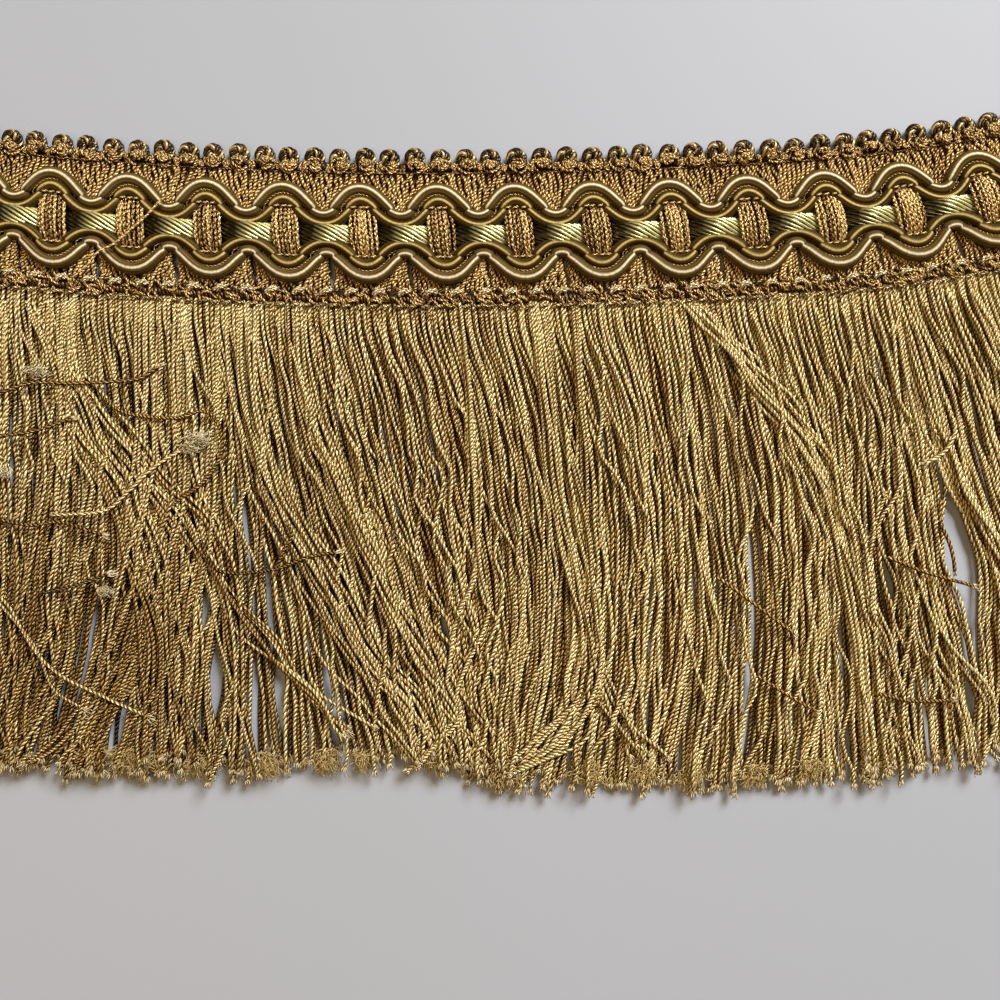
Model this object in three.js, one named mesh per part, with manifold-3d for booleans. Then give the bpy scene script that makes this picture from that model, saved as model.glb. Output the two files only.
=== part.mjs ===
// Cord fringe trim: a cut length that lies flat with a slight curve. It has a woven heading with an edge of
// small loops, two waved gimp straps, a twisted centre cord held down by ribbed bars, and a long skirt of cords.
// Millimetres. +X runs along the trim, +Y from the cord tips towards the heading, +Z up.
// The origin is the middle of the heading's flat back, on the surface that the trim lies on.

import * as THREE from "three";
import { mergeGeometries, mergeVertices } from "three/addons/utils/BufferGeometryUtils.js";
import Module from "manifold-3d";

const wasm = await Module();
wasm.setup();
const SAME_POINT = 1e-4; // vertices closer than this are one vertex

const { lerp, mapLinear } = THREE.MathUtils;

// Driving dimensions of the whole trim
const GAP = 0.3; // left between pieces that touch
const WAVE = 12.4; // one wave of a gimp strap, which holds one bar and three edge loops
const WAVES = 15;
const HALF_LENGTH = (WAVES * WAVE) / 2;
const FIRST_CREST = -83.9; // the first crest of the upper strap, and the first bar
const SKEW = 0.12; // how far the weave leans along the trim for each millimetre across it
const LIE = { low: -12, leftRadius: 667, rightRadius: 909, turnStart: 50, turnRadius: 312 };

// Heading: each across value is measured from the middle of the heading, towards its looped edge
const GROUND = { low: -9.9, high: 8.3, thickness: 1.0, stepsPerWave: 2 };
const EDGE = { low: GROUND.high + GAP, foot: 10.0, top: 11.8, halfWidth: 1.75, thickness: 1.6 };
const LOOPS_PER_WAVE = 3;
const LOOP_CORNERS = 4;
const STRAP = { halfWidth: 1.55, shoulder: 0.9, lobe: 0.8, height: 1.7, valley: 1.05, stepsPerWave: 8 };
const UPPER_STRAP = { middle: 2.55, swing: 1.86 };
const LOWER_STRAP = { middle: -6.1, swing: -1.9 };
const CENTRE = { across: -1.8, sides: 6, stepsPerWave: 8, twistLength: 6.2, twistDepth: 0.1 };
const BAR = { ribs: 5, ribDepth: 0.16, crown: 0.4 };

// A bar's half width and the heights of its two faces, from its end under the upper strap to its other end
const BAR_STATIONS = [
  { across: 1.7, halfWidth: 1.0, under: 0, over: 0.9 },
  { across: 0.9, halfWidth: 1.75, under: 1.0, over: 1.85 },
  { across: 0.1, halfWidth: 2.15, under: 1.7, over: 2.45 },
  { across: -3.8, halfWidth: 2.15, under: 1.7, over: 2.45 },
  { across: -4.5, halfWidth: 1.75, under: 1.0, over: 1.85 },
  { across: -5.25, halfWidth: 1.0, under: 0, over: 0.9 },
];

// The centre cord's half width and height by how far it is from a bar, in eighths of a wave
const CENTRE_SIZES = [
  { fromBar: 0, halfWidth: 1.15, height: 1.2 },
  { fromBar: 1, halfWidth: 1.2, height: 1.2 },
  { fromBar: 2, halfWidth: 1.45, height: 1.7 },
  { fromBar: 3, halfWidth: 0.8, height: 1.6 },
  { fromBar: 4, halfWidth: 0.55, height: 1.4 },
];

// Skirt: the strip that holds the strands, and the strands of its two layers, one above the other. Each layer
// takes a share of the lie's lean, and its strands start at a share of their pitch.
const STRIP = { low: -13.4, high: GROUND.low - GAP, thickness: 2.3, stepsPerWave: 2 };
const STRANDS_PER_LAYER = 90;
const STRAND = { width: 1.3, least: 0.4, height: 0.95, clearance: 0.42, tipShare: 0.6, steps: 5, rooted: 1.2 };
const LAYERS = [
  { base: 0, lean: 0.45, shorter: 2.2, shift: 0.25 },
  { base: 1.25, lean: 1, shorter: 0, shift: 0.75 },
];
const RAGGED = 0.9; // how far strand tips vary in reach
const LOCKS = { pitch: 8.3, gather: 0.5 }; // the strands draw together into soft locks towards their tips

// The lie of the skirt: where a strand with a given root lies a third and two thirds of the way down and at
// its tip, all along X, and how far down in Y its tip reaches
const SKIRT = [
  { root: -96.7, upper: -96.2, middle: -97.0, tip: -97.3, reach: -85.0 },
  { root: -80.8, upper: -79.2, middle: -80.0, tip: -80.4, reach: -85.3 },
  { root: -71.4, upper: -68.1, middle: -68.8, tip: -71.9, reach: -87.3 },
  { root: -61.9, upper: -57.5, middle: -56.7, tip: -60.3, reach: -88.8 },
  { root: -50.8, upper: -45.7, middle: -44.1, tip: -46.3, reach: -89.2 },
  { root: -45.3, upper: -38.7, middle: -37.7, tip: -40.0, reach: -89.2 },
  { root: -39.8, upper: -31.2, middle: -28.8, tip: -32.2, reach: -89.1 },
  { root: -33.5, upper: -23.6, middle: -18.2, tip: -20.1, reach: -87.0 },
  { root: -20.8, upper: -8.6, middle: -5.1, tip: -6.0, reach: -87.2 },
  { root: -12.9, upper: 0.0, middle: 1.2, tip: -0.6, reach: -90.6 },
  { root: -4.9, upper: 6.4, middle: 7.1, tip: 3.4, reach: -91.2 },
  { root: 2.9, upper: 12.0, middle: 13.0, tip: 8.6, reach: -91.0 },
  { root: 13.3, upper: 22.0, middle: 22.2, tip: 20.1, reach: -91.2 },
  { root: 26.3, upper: 31.5, middle: 33.6, tip: 30.5, reach: -91.4 },
  { root: 34.2, upper: 43.0, middle: 44.6, tip: 42.6, reach: -90.6 },
  { root: 42.8, upper: 50.3, middle: 52.0, tip: 51.8, reach: -89.8 },
  { root: 49.9, upper: 55.8, middle: 58.6, tip: 60.4, reach: -89.2 },
  { root: 59.9, upper: 69.0, middle: 74.6, tip: 76.1, reach: -86.4 },
  { root: 70.0, upper: 80.4, middle: 85.2, tip: 88.2, reach: -84.6 },
  { root: 95.0, upper: 107.3, middle: 113.0, tip: 117.0, reach: -80.0 },
];

// Partings: gaps that open between strands, at a share of the way down
const PARTINGS = [
  { x: 71.6, down: 0.5, halfWidth: 2.0, halfHeight: 0.17 },
  { x: -45.0, down: 0.79, halfWidth: 0.9, halfHeight: 0.1 },
  { x: -34.9, down: 0.81, halfWidth: 0.9, halfHeight: 0.09 },
  { x: -8.9, down: 0.67, halfWidth: 0.6, halfHeight: 0.08 },
  { x: 46.1, down: 0.87, halfWidth: 0.7, halfHeight: 0.08 },
  { x: -60.0, down: 0.87, halfWidth: 0.7, halfHeight: 0.08 },
];
const PARTING_SPREAD = 3; // how many half widths away a parting still pushes strands

// How far the middle of the heading has risen in Y at a place along the trim
function lift(along) {
  const fromLow = along - LIE.low;
  const radius = fromLow < 0 ? LIE.leftRadius : LIE.rightRadius;
  const turned = Math.max(0, along - LIE.turnStart);
  return fromLow ** 2 / (2 * radius) + turned ** 2 / (2 * LIE.turnRadius);
}

function slope(along) {
  const fromLow = along - LIE.low;
  const radius = fromLow < 0 ? LIE.leftRadius : LIE.rightRadius;
  return fromLow / radius + Math.max(0, along - LIE.turnStart) / LIE.turnRadius;
}

// A point of the trim from its place along it, across it and above the surface
function place(along, across, height) {
  const foot = along - SKEW * across;
  const tangent = new THREE.Vector2(1, slope(foot)).normalize();
  return new THREE.Vector3(foot - across * tangent.y, lift(foot) + across * tangent.x, height);
}

function finish(color, roughness) {
  return new THREE.MeshStandardMaterial({ color, roughness, metalness: 0 });
}

const tanYarn = finish(0x96733c, 0.6);
const oliveSatin = finish(0x5f5028, 0.35);
const limeSatin = finish(0xa8a45c, 0.35);
const goldCord = finish(0xbea05a, 0.5);

const trim = new THREE.Group();

function addPiece(name, geometry, material) {
  const mesh = new THREE.Mesh(geometry, material);
  mesh.name = name;
  trim.add(mesh);
}

// A plate over the outline between two edges of the trim, each given from left to right
function plate(lowEdge, highEdge, thickness) {
  const outline = [...lowEdge, ...highEdge.reverse()].map((point) => new THREE.Vector2(point.x, point.y));
  return new THREE.ExtrudeGeometry(new THREE.Shape(outline), { depth: thickness, bevelEnabled: false });
}

function straightEdge(across, steps) {
  return Array.from({ length: steps + 1 }, (_, i) =>
    place(lerp(-HALF_LENGTH, HALF_LENGTH, i / steps), across, 0),
  );
}

// A closed solid through rings of points. Every ring runs the same way round, seen against the solid's
// direction, and the flat outline, in the rings' order, says how both end rings are filled.
function loft(rings, outline) {
  const corners = outline.length;
  const last = (rings.length - 1) * corners;
  const faces = [];
  for (let start = 0; start < last; start += corners) {
    for (let corner = 0; corner < corners; corner++) {
      const a = start + corner;
      const b = start + ((corner + 1) % corners);
      faces.push(a, b, b + corners, a, b + corners, a + corners);
    }
  }
  for (const [a, b, c] of THREE.ShapeUtils.triangulateShape(outline, [])) {
    faces.push(a, c, b, last + a, last + b, last + c);
  }
  const geometry = new THREE.BufferGeometry().setFromPoints(rings.flat());
  geometry.setIndex(faces);
  return geometry;
}

// Ground: the flat woven band under everything
const groundSteps = WAVES * GROUND.stepsPerWave;
addPiece(
  "heading_ground",
  plate(straightEdge(GROUND.low, groundSteps), straightEdge(GROUND.high, groundSteps), GROUND.thickness),
  tanYarn,
);

// Looped edge: a row of round-topped loops, three to a wave
const loopPitch = WAVE / LOOPS_PER_WAVE;
const loopTops = [];
for (let middle = -HALF_LENGTH + loopPitch / 2; middle < HALF_LENGTH; middle += loopPitch) {
  for (let corner = 0; corner <= LOOP_CORNERS; corner++) {
    const turn = (corner / LOOP_CORNERS) * Math.PI;
    const across = EDGE.foot + (EDGE.top - EDGE.foot) * Math.sin(turn);
    loopTops.push(place(middle - EDGE.halfWidth * Math.cos(turn), across, 0));
  }
}
addPiece("picot_edge", plate(straightEdge(EDGE.low, groundSteps), loopTops, EDGE.thickness), tanYarn);

// Gimp straps: two satin cords side by side, swept along a wave
class StrapPath extends THREE.Curve {
  constructor(strap) {
    super();
    this.strap = strap;
  }

  getPoint(t, target = new THREE.Vector3()) {
    const along = lerp(-HALF_LENGTH, HALF_LENGTH, t);
    const phase = (2 * Math.PI * (along - FIRST_CREST)) / WAVE;
    const across = this.strap.middle + this.strap.swing * Math.cos(phase);
    return target.copy(place(along, across, GROUND.thickness + GAP));
  }
}

// The section is drawn with its height along -x and its width along y, as the sweep turns it
const strapSection = new THREE.Shape(
  [
    [STRAP.halfWidth, 0],
    [STRAP.halfWidth, STRAP.shoulder],
    [STRAP.lobe, STRAP.height],
    [0, STRAP.valley],
    [-STRAP.lobe, STRAP.height],
    [-STRAP.halfWidth, STRAP.shoulder],
    [-STRAP.halfWidth, 0],
  ].map(([sideways, up]) => new THREE.Vector2(-up, sideways)),
);

function strapGeometry(strap) {
  return new THREE.ExtrudeGeometry(strapSection, {
    steps: WAVES * STRAP.stepsPerWave,
    extrudePath: new StrapPath(strap),
  });
}

addPiece("upper_gimp", strapGeometry(UPPER_STRAP), oliveSatin);
addPiece("lower_gimp", strapGeometry(LOWER_STRAP), oliveSatin);

// Centre cord: a soft twist, pressed flat under each bar and pinched between the straps
function centreRing(step) {
  const along = FIRST_CREST + (step * WAVE) / CENTRE.stepsPerWave;
  const inWave = ((step % CENTRE.stepsPerWave) + CENTRE.stepsPerWave) % CENTRE.stepsPerWave;
  const size = CENTRE_SIZES[Math.min(inWave, CENTRE.stepsPerWave - inWave)];
  const twist = (2 * Math.PI * along) / CENTRE.twistLength;
  return Array.from({ length: CENTRE.sides }, (_, side) => {
    const turn = (2 * Math.PI * side) / CENTRE.sides;
    const ply = 1 - CENTRE.twistDepth * (1 + Math.cos(2 * turn - twist));
    const across = CENTRE.across + size.halfWidth * ply * Math.cos(turn);
    const rise = (size.height / 2) * (1 + ply * Math.sin(turn));
    return place(along, across, GROUND.thickness + GAP + rise);
  });
}

const centreRings = [];
const stepLength = WAVE / CENTRE.stepsPerWave;
const firstStep = Math.ceil((-HALF_LENGTH - FIRST_CREST) / stepLength);
const lastStep = Math.floor((HALF_LENGTH - FIRST_CREST) / stepLength);
for (let step = firstStep; step <= lastStep; step++) {
  centreRings.push(centreRing(step));
}
const roundOutline = Array.from({ length: CENTRE.sides }, (_, side) => {
  const turn = (2 * Math.PI * side) / CENTRE.sides;
  return new THREE.Vector2(Math.cos(turn), Math.sin(turn));
});
addPiece("centre_twist", loft(centreRings, roundOutline), limeSatin);

// Bars: ribbed pads that arch over the centre cord, one at each crest of the upper strap
function barOutline({ halfWidth, under, over }) {
  const outline = [new THREE.Vector2(-halfWidth, under), new THREE.Vector2(halfWidth, under)];
  const columns = 2 * BAR.ribs;
  for (let column = columns; column >= 0; column--) {
    const side = (2 * column) / columns - 1;
    const groove = column % 2 ? 0 : BAR.ribDepth;
    outline.push(new THREE.Vector2(side * halfWidth, over - BAR.crown * side ** 2 - groove));
  }
  return outline;
}

for (let bar = 0; bar < WAVES; bar++) {
  const middle = FIRST_CREST + bar * WAVE;
  const rings = BAR_STATIONS.map((station) =>
    barOutline(station).map((point) =>
      place(middle + point.x, station.across, GROUND.thickness + GAP + point.y),
    ),
  );
  addPiece("bar_" + String(bar + 1).padStart(2, "0"), loft(rings, barOutline(BAR_STATIONS[0])), tanYarn);
}

// Skirt: strands in two layers, whose roots are fused into one strip along the heading
function lay(root, column) {
  const next = SKIRT.findIndex((row) => row.root > root);
  const before = SKIRT[next - 1];
  const after = SKIRT[next];
  return mapLinear(root, before.root, after.root, before[column], after[column]);
}

function strandPath(root, layer, ragged) {
  const start = place(root, STRIP.low + STRAND.rooted, layer.base);
  const reach = lay(root, "reach") + layer.shorter + ragged;
  const points = ["upper", "middle", "tip"].map((column, third) => {
    const down = (third + 1) / 3;
    const gathered = LOCKS.gather * down ** 2 * Math.sin((2 * Math.PI * root) / LOCKS.pitch);
    const x = lerp(start.x, lay(root, column), layer.lean) + gathered;
    return new THREE.Vector3(x, lerp(start.y, reach, down), layer.base);
  });
  return new THREE.CatmullRomCurve3([start, ...points]);
}

// How far the partings push a strand sideways, at a share of the way down it
function parted(path, down) {
  return PARTINGS.reduce((sum, parting) => {
    const offset = path.getPoint(parting.down).x - parting.x;
    const near = Math.exp(-Math.abs(offset) / (PARTING_SPREAD * parting.halfWidth));
    const level = Math.exp(-(((down - parting.down) / parting.halfHeight) ** 2));
    return sum + Math.sign(offset) * parting.halfWidth * near * level;
  }, 0);
}

function layerGeometry(layer) {
  const pitch = (2 * HALF_LENGTH) / STRANDS_PER_LAYER;
  const lines = Array.from({ length: STRANDS_PER_LAYER }, (_, strand) => {
    const root = -HALF_LENGTH + (strand + layer.shift) * pitch;
    const path = strandPath(root, layer, RAGGED * Math.sin(strand * strand));
    return Array.from({ length: STRAND.steps + 1 }, (_, step) => {
      const down = step / STRAND.steps;
      return path.getPoint(down).add(new THREE.Vector3(parted(path, down), 0, 0));
    });
  });
  const flatRing = [new THREE.Vector2(-1, 0), new THREE.Vector2(1, 0), new THREE.Vector2(0, 1)];
  const strands = lines.map((line, strand) => {
    const rings = line.map((middle, step) => {
      const beside = [lines[strand - 1], lines[strand + 1]].filter(Boolean);
      const room = Math.min(...beside.map((other) => Math.abs(other[step].x - middle.x)));
      const taper = step === STRAND.steps ? STRAND.tipShare : 1;
      const width = Math.max(STRAND.least, Math.min(STRAND.width, room - STRAND.clearance)) * taper;
      return flatRing.map(
        (corner) =>
          new THREE.Vector3(
            middle.x + (corner.x * width) / 2,
            middle.y,
            middle.z + corner.y * STRAND.height * taper,
          ),
      );
    });
    return loft(rings, flatRing);
  });
  return mergeGeometries(strands);
}

function solidOf(geometry) {
  const bare = geometry.clone();
  bare.deleteAttribute("normal");
  bare.deleteAttribute("uv");
  const merged = mergeVertices(bare, SAME_POINT);
  return new wasm.Manifold(
    new wasm.Mesh({
      numProp: 3,
      vertProperties: merged.attributes.position.array,
      triVerts: new Uint32Array(merged.index.array),
    }),
  );
}

function geometryOf(solid) {
  const mesh = solid.getMesh();
  const geometry = new THREE.BufferGeometry();
  geometry.setAttribute("position", new THREE.BufferAttribute(mesh.vertProperties, 3));
  geometry.setIndex(new THREE.BufferAttribute(mesh.triVerts, 1));
  return geometry;
}

const stripSteps = WAVES * STRIP.stepsPerWave;
const strip = plate(straightEdge(STRIP.low, stripSteps), straightEdge(STRIP.high, stripSteps), STRIP.thickness);
const fringe = LAYERS.reduce(
  (solid, layer) => solid.add(solidOf(layerGeometry(layer))),
  solidOf(strip),
);
addPiece("fringe", geometryOf(fringe), goldCord);

export default trim;
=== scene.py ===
"""Cord fringe trim: a flat cut length of furnishing trim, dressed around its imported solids.

Lengths are metres. +X runs along the trim, +Y from the cord tips to the looped edge, +Z up.
"""

import math

import bpy
import numpy as np
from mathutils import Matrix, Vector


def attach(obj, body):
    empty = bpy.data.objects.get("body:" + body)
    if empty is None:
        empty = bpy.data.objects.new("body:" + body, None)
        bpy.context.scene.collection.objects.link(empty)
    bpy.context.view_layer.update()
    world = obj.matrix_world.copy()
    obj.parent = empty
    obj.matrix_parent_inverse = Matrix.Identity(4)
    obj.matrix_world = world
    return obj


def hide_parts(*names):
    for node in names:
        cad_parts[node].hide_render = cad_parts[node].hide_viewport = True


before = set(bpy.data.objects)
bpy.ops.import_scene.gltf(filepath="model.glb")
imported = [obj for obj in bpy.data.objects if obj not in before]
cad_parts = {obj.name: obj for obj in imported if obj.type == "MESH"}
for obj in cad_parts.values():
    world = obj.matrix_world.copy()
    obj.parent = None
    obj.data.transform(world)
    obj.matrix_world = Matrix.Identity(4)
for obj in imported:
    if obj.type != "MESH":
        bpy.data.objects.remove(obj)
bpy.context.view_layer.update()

bl_info = {
    "name": "Cord fringe trim",
    "version": (1, 0, 0),
    "blender": (4, 5, 0),
    "location": "3D View > Sidebar > Trim",
    "description": "Weaves a length of cord fringe trim from its real sizes",
    "category": "Object",
}

MM = 0.001

# The lie of the heading: two flat arcs that meet at its low point, with a tighter turn near the right end
LIE_LOW = -12 * MM
LIE_LEFT_RADIUS = 667 * MM
LIE_RIGHT_RADIUS = 909 * MM
LIE_TURN_START = 50 * MM
LIE_TURN_RADIUS = 312 * MM
FIRST_CREST = -83.9 * MM

# Rows of the heading, across the trim from its middle
LOOP_TOP = 12.5 * MM
GROUND_EDGE = 10.2 * MM
BINDING_ROW = 9.4 * MM
BINDING_BETWEEN = 9.2 * MM
GROUND_HIGH = 8.3 * MM
UPPER_STRAP = {"middle": 2.6 * MM, "swing": 1.84 * MM, "stitch": 2.2 * MM, "outer": 1}
BAR_TOP = 2.75 * MM
UPPER_FAN_END = 0.2 * MM
CENTRE_ACROSS = -1.95 * MM
LOWER_FAN_START = -4.6 * MM
BAR_FOOT = -6.0 * MM
LOWER_STRAP = {"middle": -6.3 * MM, "swing": -1.66 * MM, "stitch": -5.75 * MM, "outer": -1}
LOWER_FAN_END = -10.9 * MM
KNOT_ROWS = (-13.1 * MM, -10.9 * MM)
SCALLOP_ROW = -11.45 * MM
HEADER_CORE = -12.1 * MM
HEADER_LOW = -13.4 * MM
DOT_ROW = -13.45 * MM

# Heights over the surface that the trim lies on
BAND_TOP = 0.75 * MM
BAND_THICKNESS = 0.7 * MM
STRAP_HEIGHT = 2.15 * MM
STITCH_HEIGHT = 2.75 * MM
HEADER_HEIGHT = 0.9 * MM
PARTING_HEIGHT = 1.5 * MM
BUNDLE_HEIGHT = 2.35 * MM
TUFT_HEIGHT = 1.2 * MM
STRAY_HEIGHT = 3.6 * MM
STRAY_TUFT_HEIGHT = 3.2 * MM
HEADING_YARN_HEIGHT = 4.05 * MM

# The fans of the ground's yarns: how far they draw together, how high they arch, and how far the lower ones
# stand to the right of the upper ones' feet
FAN_GATHER = 0.6
FAN_ARCH = 0.25 * MM
FAN_SHIFT = 0.4 * MM

# What repeats in a wave of the heading, and how many points a curved line has
LOOPS_PER_WAVE = 3
FAN_YARNS = 15
FAN_POINTS = 13
BAR_YARNS = 7
KNOTS_PER_WAVE = 38
DOTS_PER_WAVE = 6
STRAY_POINTS = 48
FILAMENT_POINTS = 4
FRAYED_STRANDS = 9

# Ranges of random draws: a turn in radians, and where along its pattern a yarn starts, in millimetres
ANY_TURN = (0, 6.28)
ANY_START = (0, 9)

# The lie of the skirt in millimetres: where a cord with a given root lies a third and two thirds of the way
# down and at its tip, all along X, and how far down in Y its tip reaches
SKIRT_COLUMNS = ("root", "upper", "middle", "tip", "reach")
SKIRT_ROWS = (
    (-96.7, -96.2, -97.0, -97.3, -85.0),
    (-80.8, -79.2, -80.0, -80.4, -85.3),
    (-71.4, -68.1, -69.8, -75.0, -87.3),
    (-61.9, -58.3, -58.2, -62.5, -88.8),
    (-50.8, -47.0, -45.6, -48.0, -89.2),
    (-45.3, -41.0, -38.0, -37.5, -89.2),
    (-39.8, -34.6, -29.2, -25.5, -88.2),
    (-33.5, -27.8, -20.0, -13.5, -86.6),
    (-26.0, -19.4, -12.2, -7.0, -86.8),
    (-20.8, -13.8, -8.0, -4.0, -88.4),
    (-12.9, -5.6, -1.6, -1.2, -90.6),
    (-4.9, 2.8, 5.2, 2.4, -91.2),
    (2.9, 10.4, 12.4, 8.3, -91.0),
    (13.3, 21.2, 22.0, 19.8, -91.2),
    (26.3, 31.5, 33.6, 30.5, -91.4),
    (34.2, 43.0, 44.6, 42.6, -90.6),
    (42.8, 50.3, 52.0, 51.8, -89.8),
    (49.9, 55.8, 58.6, 60.4, -89.2),
    (59.9, 69.0, 74.6, 76.1, -86.4),
    (70.0, 80.4, 85.2, 88.2, -84.6),
    (95.0, 107.3, 113.0, 117.0, -80.0),
)
SKIRT = dict(zip(SKIRT_COLUMNS, np.array(SKIRT_ROWS).T * MM))

# Partings between cords, where the surface shows: their middle as the frame's pixels right and down, and
# their half width and half height in millimetres
PARTINGS = (
    (960, 560, 2.5, 11.0),
    (972, 700, 0.8, 7.0),
    (216, 681, 1.1, 7.0),
    (279, 690, 1.1, 6.5),
    (328, 688, 0.8, 5.0),
    (207, 597, 0.7, 5.0),
    (444, 626, 0.8, 4.5),
    (819, 456, 0.6, 5.0),
    (889, 578, 0.6, 4.0),
    (793, 716, 0.7, 5.0),
    (120, 722, 0.7, 5.0),
    (802, 543, 0.5, 4.0),
)
# How far a parting pushes the cords beside it, as half widths
PARTING_SPREAD = 3
# Rings of points along one cord of the skirt
RINGS = 34

# Bundles of cords that lie over the rest, as the frame's pixels that their middle passes, right and down from
# the header to the tips, with their width at the middle in millimetres and their count
BUNDLES = (
    (((690, 300), (713, 330), (740, 358), (773, 400), (816, 460), (850, 560), (870, 775)), 3.6, 11),
    (((62, 300), (68, 370), (90, 430), (128, 492), (150, 560), (160, 650), (165, 765)), 7.0, 16),
    (((196, 300), (198, 420), (190, 520), (172, 600), (148, 670), (124, 725), (104, 775)), 9.0, 16),
    (((150, 300), (152, 400), (150, 500), (132, 590), (106, 670), (82, 730), (64, 775)), 8.0, 14),
    (((60, 300), (58, 420), (50, 520), (36, 620), (18, 700), (2, 770)), 7.0, 10),
    (((176, 300), (182, 400), (196, 500), (216, 575), (262, 638), (308, 684), (350, 740)), 2.2, 6),
    (((240, 300), (247, 400), (272, 490), (314, 570), (362, 650), (400, 706), (428, 765)), 7.0, 16),
    (((300, 300), (311, 400), (344, 490), (384, 570), (424, 650), (452, 710), (476, 770)), 7.0, 15),
    (((24, 300), (62, 370), (112, 430), (152, 480), (192, 530), (216, 600), (234, 775)), 9.0, 10),
    (((4, 300), (7, 400), (6, 500), (3, 600), (-3, 690), (-9, 775)), 2.6, 6),
    (((540, 300), (556, 420), (575, 540), (590, 620), (584, 690), (558, 740), (520, 780)), 5.0, 14),
    (((455, 300), (470, 420), (477, 550), (465, 620), (448, 680), (436, 720), (420, 775)), 2.0, 5),
    (((575, 300), (582, 420), (590, 540), (596, 622), (606, 688), (626, 730), (648, 765)), 2.0, 5),
    (((900, 300), (925, 400), (948, 470), (975, 530), (1003, 600), (1025, 680), (1040, 770)), 4.0, 7),
    (((895, 300), (905, 400), (920, 480), (934, 560), (950, 640), (968, 700), (985, 775)), 4.0, 7),
)

# Tufts of loose filaments between the tips, as the frame's pixels that their middle stands at, and their
# width and height in millimetres
TUFTS = (
    (138, 764, 8.0, 5.0),
    (203, 768, 4.0, 4.0),
    (264, 768, 5.0, 4.5),
    (330, 764, 3.0, 4.5),
    (364, 764, 3.0, 4.0),
    (436, 762, 4.0, 4.0),
    (510, 780, 4.0, 4.0),
    (590, 776, 4.5, 4.5),
    (644, 772, 3.5, 4.0),
    (690, 780, 3.5, 3.5),
    (752, 776, 4.0, 3.5),
    (809, 772, 4.0, 4.0),
    (880, 768, 4.0, 3.5),
)

# Single cords that have strayed across the skirt, as the pixels that they pass, and how much each end frays
STRAYS = (
    (((-12, 398), (30, 383), (76, 383), (136, 379), (158, 366)), 0.6),
    (((-12, 437), (33, 431), (72, 418)), 0.5),
    (((50, 515), (103, 511), (129, 491), (146, 474), (166, 459), (196, 442)), 1.6),
    (((-12, 517), (30, 525), (60, 522), (102, 535)), 0.5),
    (((100, 395), (126, 413), (176, 418), (200, 411), (216, 420), (222, 450), (205, 480), (170, 505)), 0.5),
    (((200, 540), (212, 565), (232, 573), (275, 569), (308, 557), (336, 552)), 0.4),
    (((-8, 590), (10, 608), (33, 648), (60, 675), (100, 695), (147, 717)), 1.2),
    (((-8, 596), (7, 612), (36, 648), (53, 688), (82, 709)), 1.0),
    (((38, 593), (60, 589), (86, 582), (108, 574)), 0.8),
    (((955, 418), (954, 436), (944, 452), (928, 462)), 1.0),
    (((888, 557), (925, 572), (975, 586)), 0.5),
    (((880, 694), (912, 701), (954, 700)), 0.5),
    (((718, 577), (760, 608), (795, 634)), 0.4),
    (((758, 676), (793, 698), (818, 712)), 0.4),
    (((942, 500), (940, 520), (950, 545), (956, 571)), 0.3),
    (((285, 520), (292, 535), (284, 550), (276, 570)), 0.3),
)
# Frayed tufts on the strays, as the pixels of their middle, width and height in millimetres, and the angle
# that their filaments point to
STRAY_TUFTS = (
    (194, 446, 3.2, 2.2, 0.5),
    (188, 452, 2.6, 1.8, 0.1),
    (34, 376, 3.0, 1.8, 0.2),
    (104, 592, 1.8, 1.4, -0.6),
    (4, 478, 1.6, 1.4, 1.0),
)
# The loose yarn that lies over the heading, as the pixels that it passes
HEADING_YARN = ((176, 188), (159, 202), (147, 215), (130, 230), (115, 243), (98, 252), (87, 265), (68, 281))

# The skirt's cords: the width of a lock, how far a cord is tucked under the header and stops short for its
# fray, the cycles and size in millimetres of its slow sines, how far an end flares and frays, the radii of
# its filaments, and how many single cords lie over the rest
LOCK_WIDTH = 6.2 * MM
CORD_TUCK = 0.9 * MM
CORD_FRAY_ROOM = 0.5 * MM
WANDERS = ((1.3, 0.5), (2.7, 0.3), (5.5, 0.2), (9.5, 0.09))
CORD_FLARE = 0.5 * MM
CORD_FRAY = 1.2 * MM
STRAND_RADII = np.array([0.12, 0.13, 0.12, 0.06]) * MM
SINGLE_CORDS = 70
# The tone of the cords: everywhere, as painted shade at the lower left, lighter near the header, and at
# 90 mm right of the middle, as painted light that rises to the right
CORD_TONES = {"all": 0.3, "painted_shade": -1.4, "near_header": 0.2, "right": 0.45}
TONE_REACH = 90 * MM
# Where the skirt is darkened as painted shade: left of a line, below another, each with a soft edge
PAINTED_SHADE_RIGHT = -62 * MM
PAINTED_SHADE_BLEND_ACROSS = 45 * MM
PAINTED_SHADE_TOP = -35 * MM
PAINTED_SHADE_BLEND_DOWN = 30 * MM

# Layers of the skirt from the floor up: their share of the lowest layer's cords, how far they follow the lie,
# their height, how much shorter they are than the reach, and how loosely they lie
SKIRT_LAYERS = (
    ("skirt_under", 1.0, 0.8, 0.40 * MM, 3.4 * MM, 0.3),
    ("skirt_middle", 0.85, 0.9, 1.05 * MM, 2.4 * MM, 0.8),
    ("skirt_top", 0.76, 1.0, 1.75 * MM, 2.0 * MM, 1.0),
)

# The camera looks almost straight down at the middle of the frame
CAMERA = {"look_at": (0.0, -44.25 * MM, 0.0), "distance": 173 * MM, "elevation": 86.6, "view_angle": 49.5}
FRAME_PIXELS = 1000
FLOOR_HALF_WIDTH = 1.2

# Soft lights: where each stands, the side of its square, its power in watts and its colour
LIGHTS = (
    ("key", (0.68, 0.80, 1.08), 0.65, 35.0, "#FAFCFF"),
    ("fill", (-0.40, -0.20, 1.00), 0.8, 3.6, "#FFDCA8"),
)
ROOM_LIGHT = {"colour": "#FFE0B4", "strength": 0.13}


def linear(code):
    """A colour written as sRGB hex, turned to linear light with its alpha."""
    parts = [int(code[i : i + 2], 16) / 255 for i in (1, 3, 5)]
    return tuple(c / 12.92 if c <= 0.04045 else ((c + 0.055) / 1.055) ** 2.4 for c in parts) + (1.0,)


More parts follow.
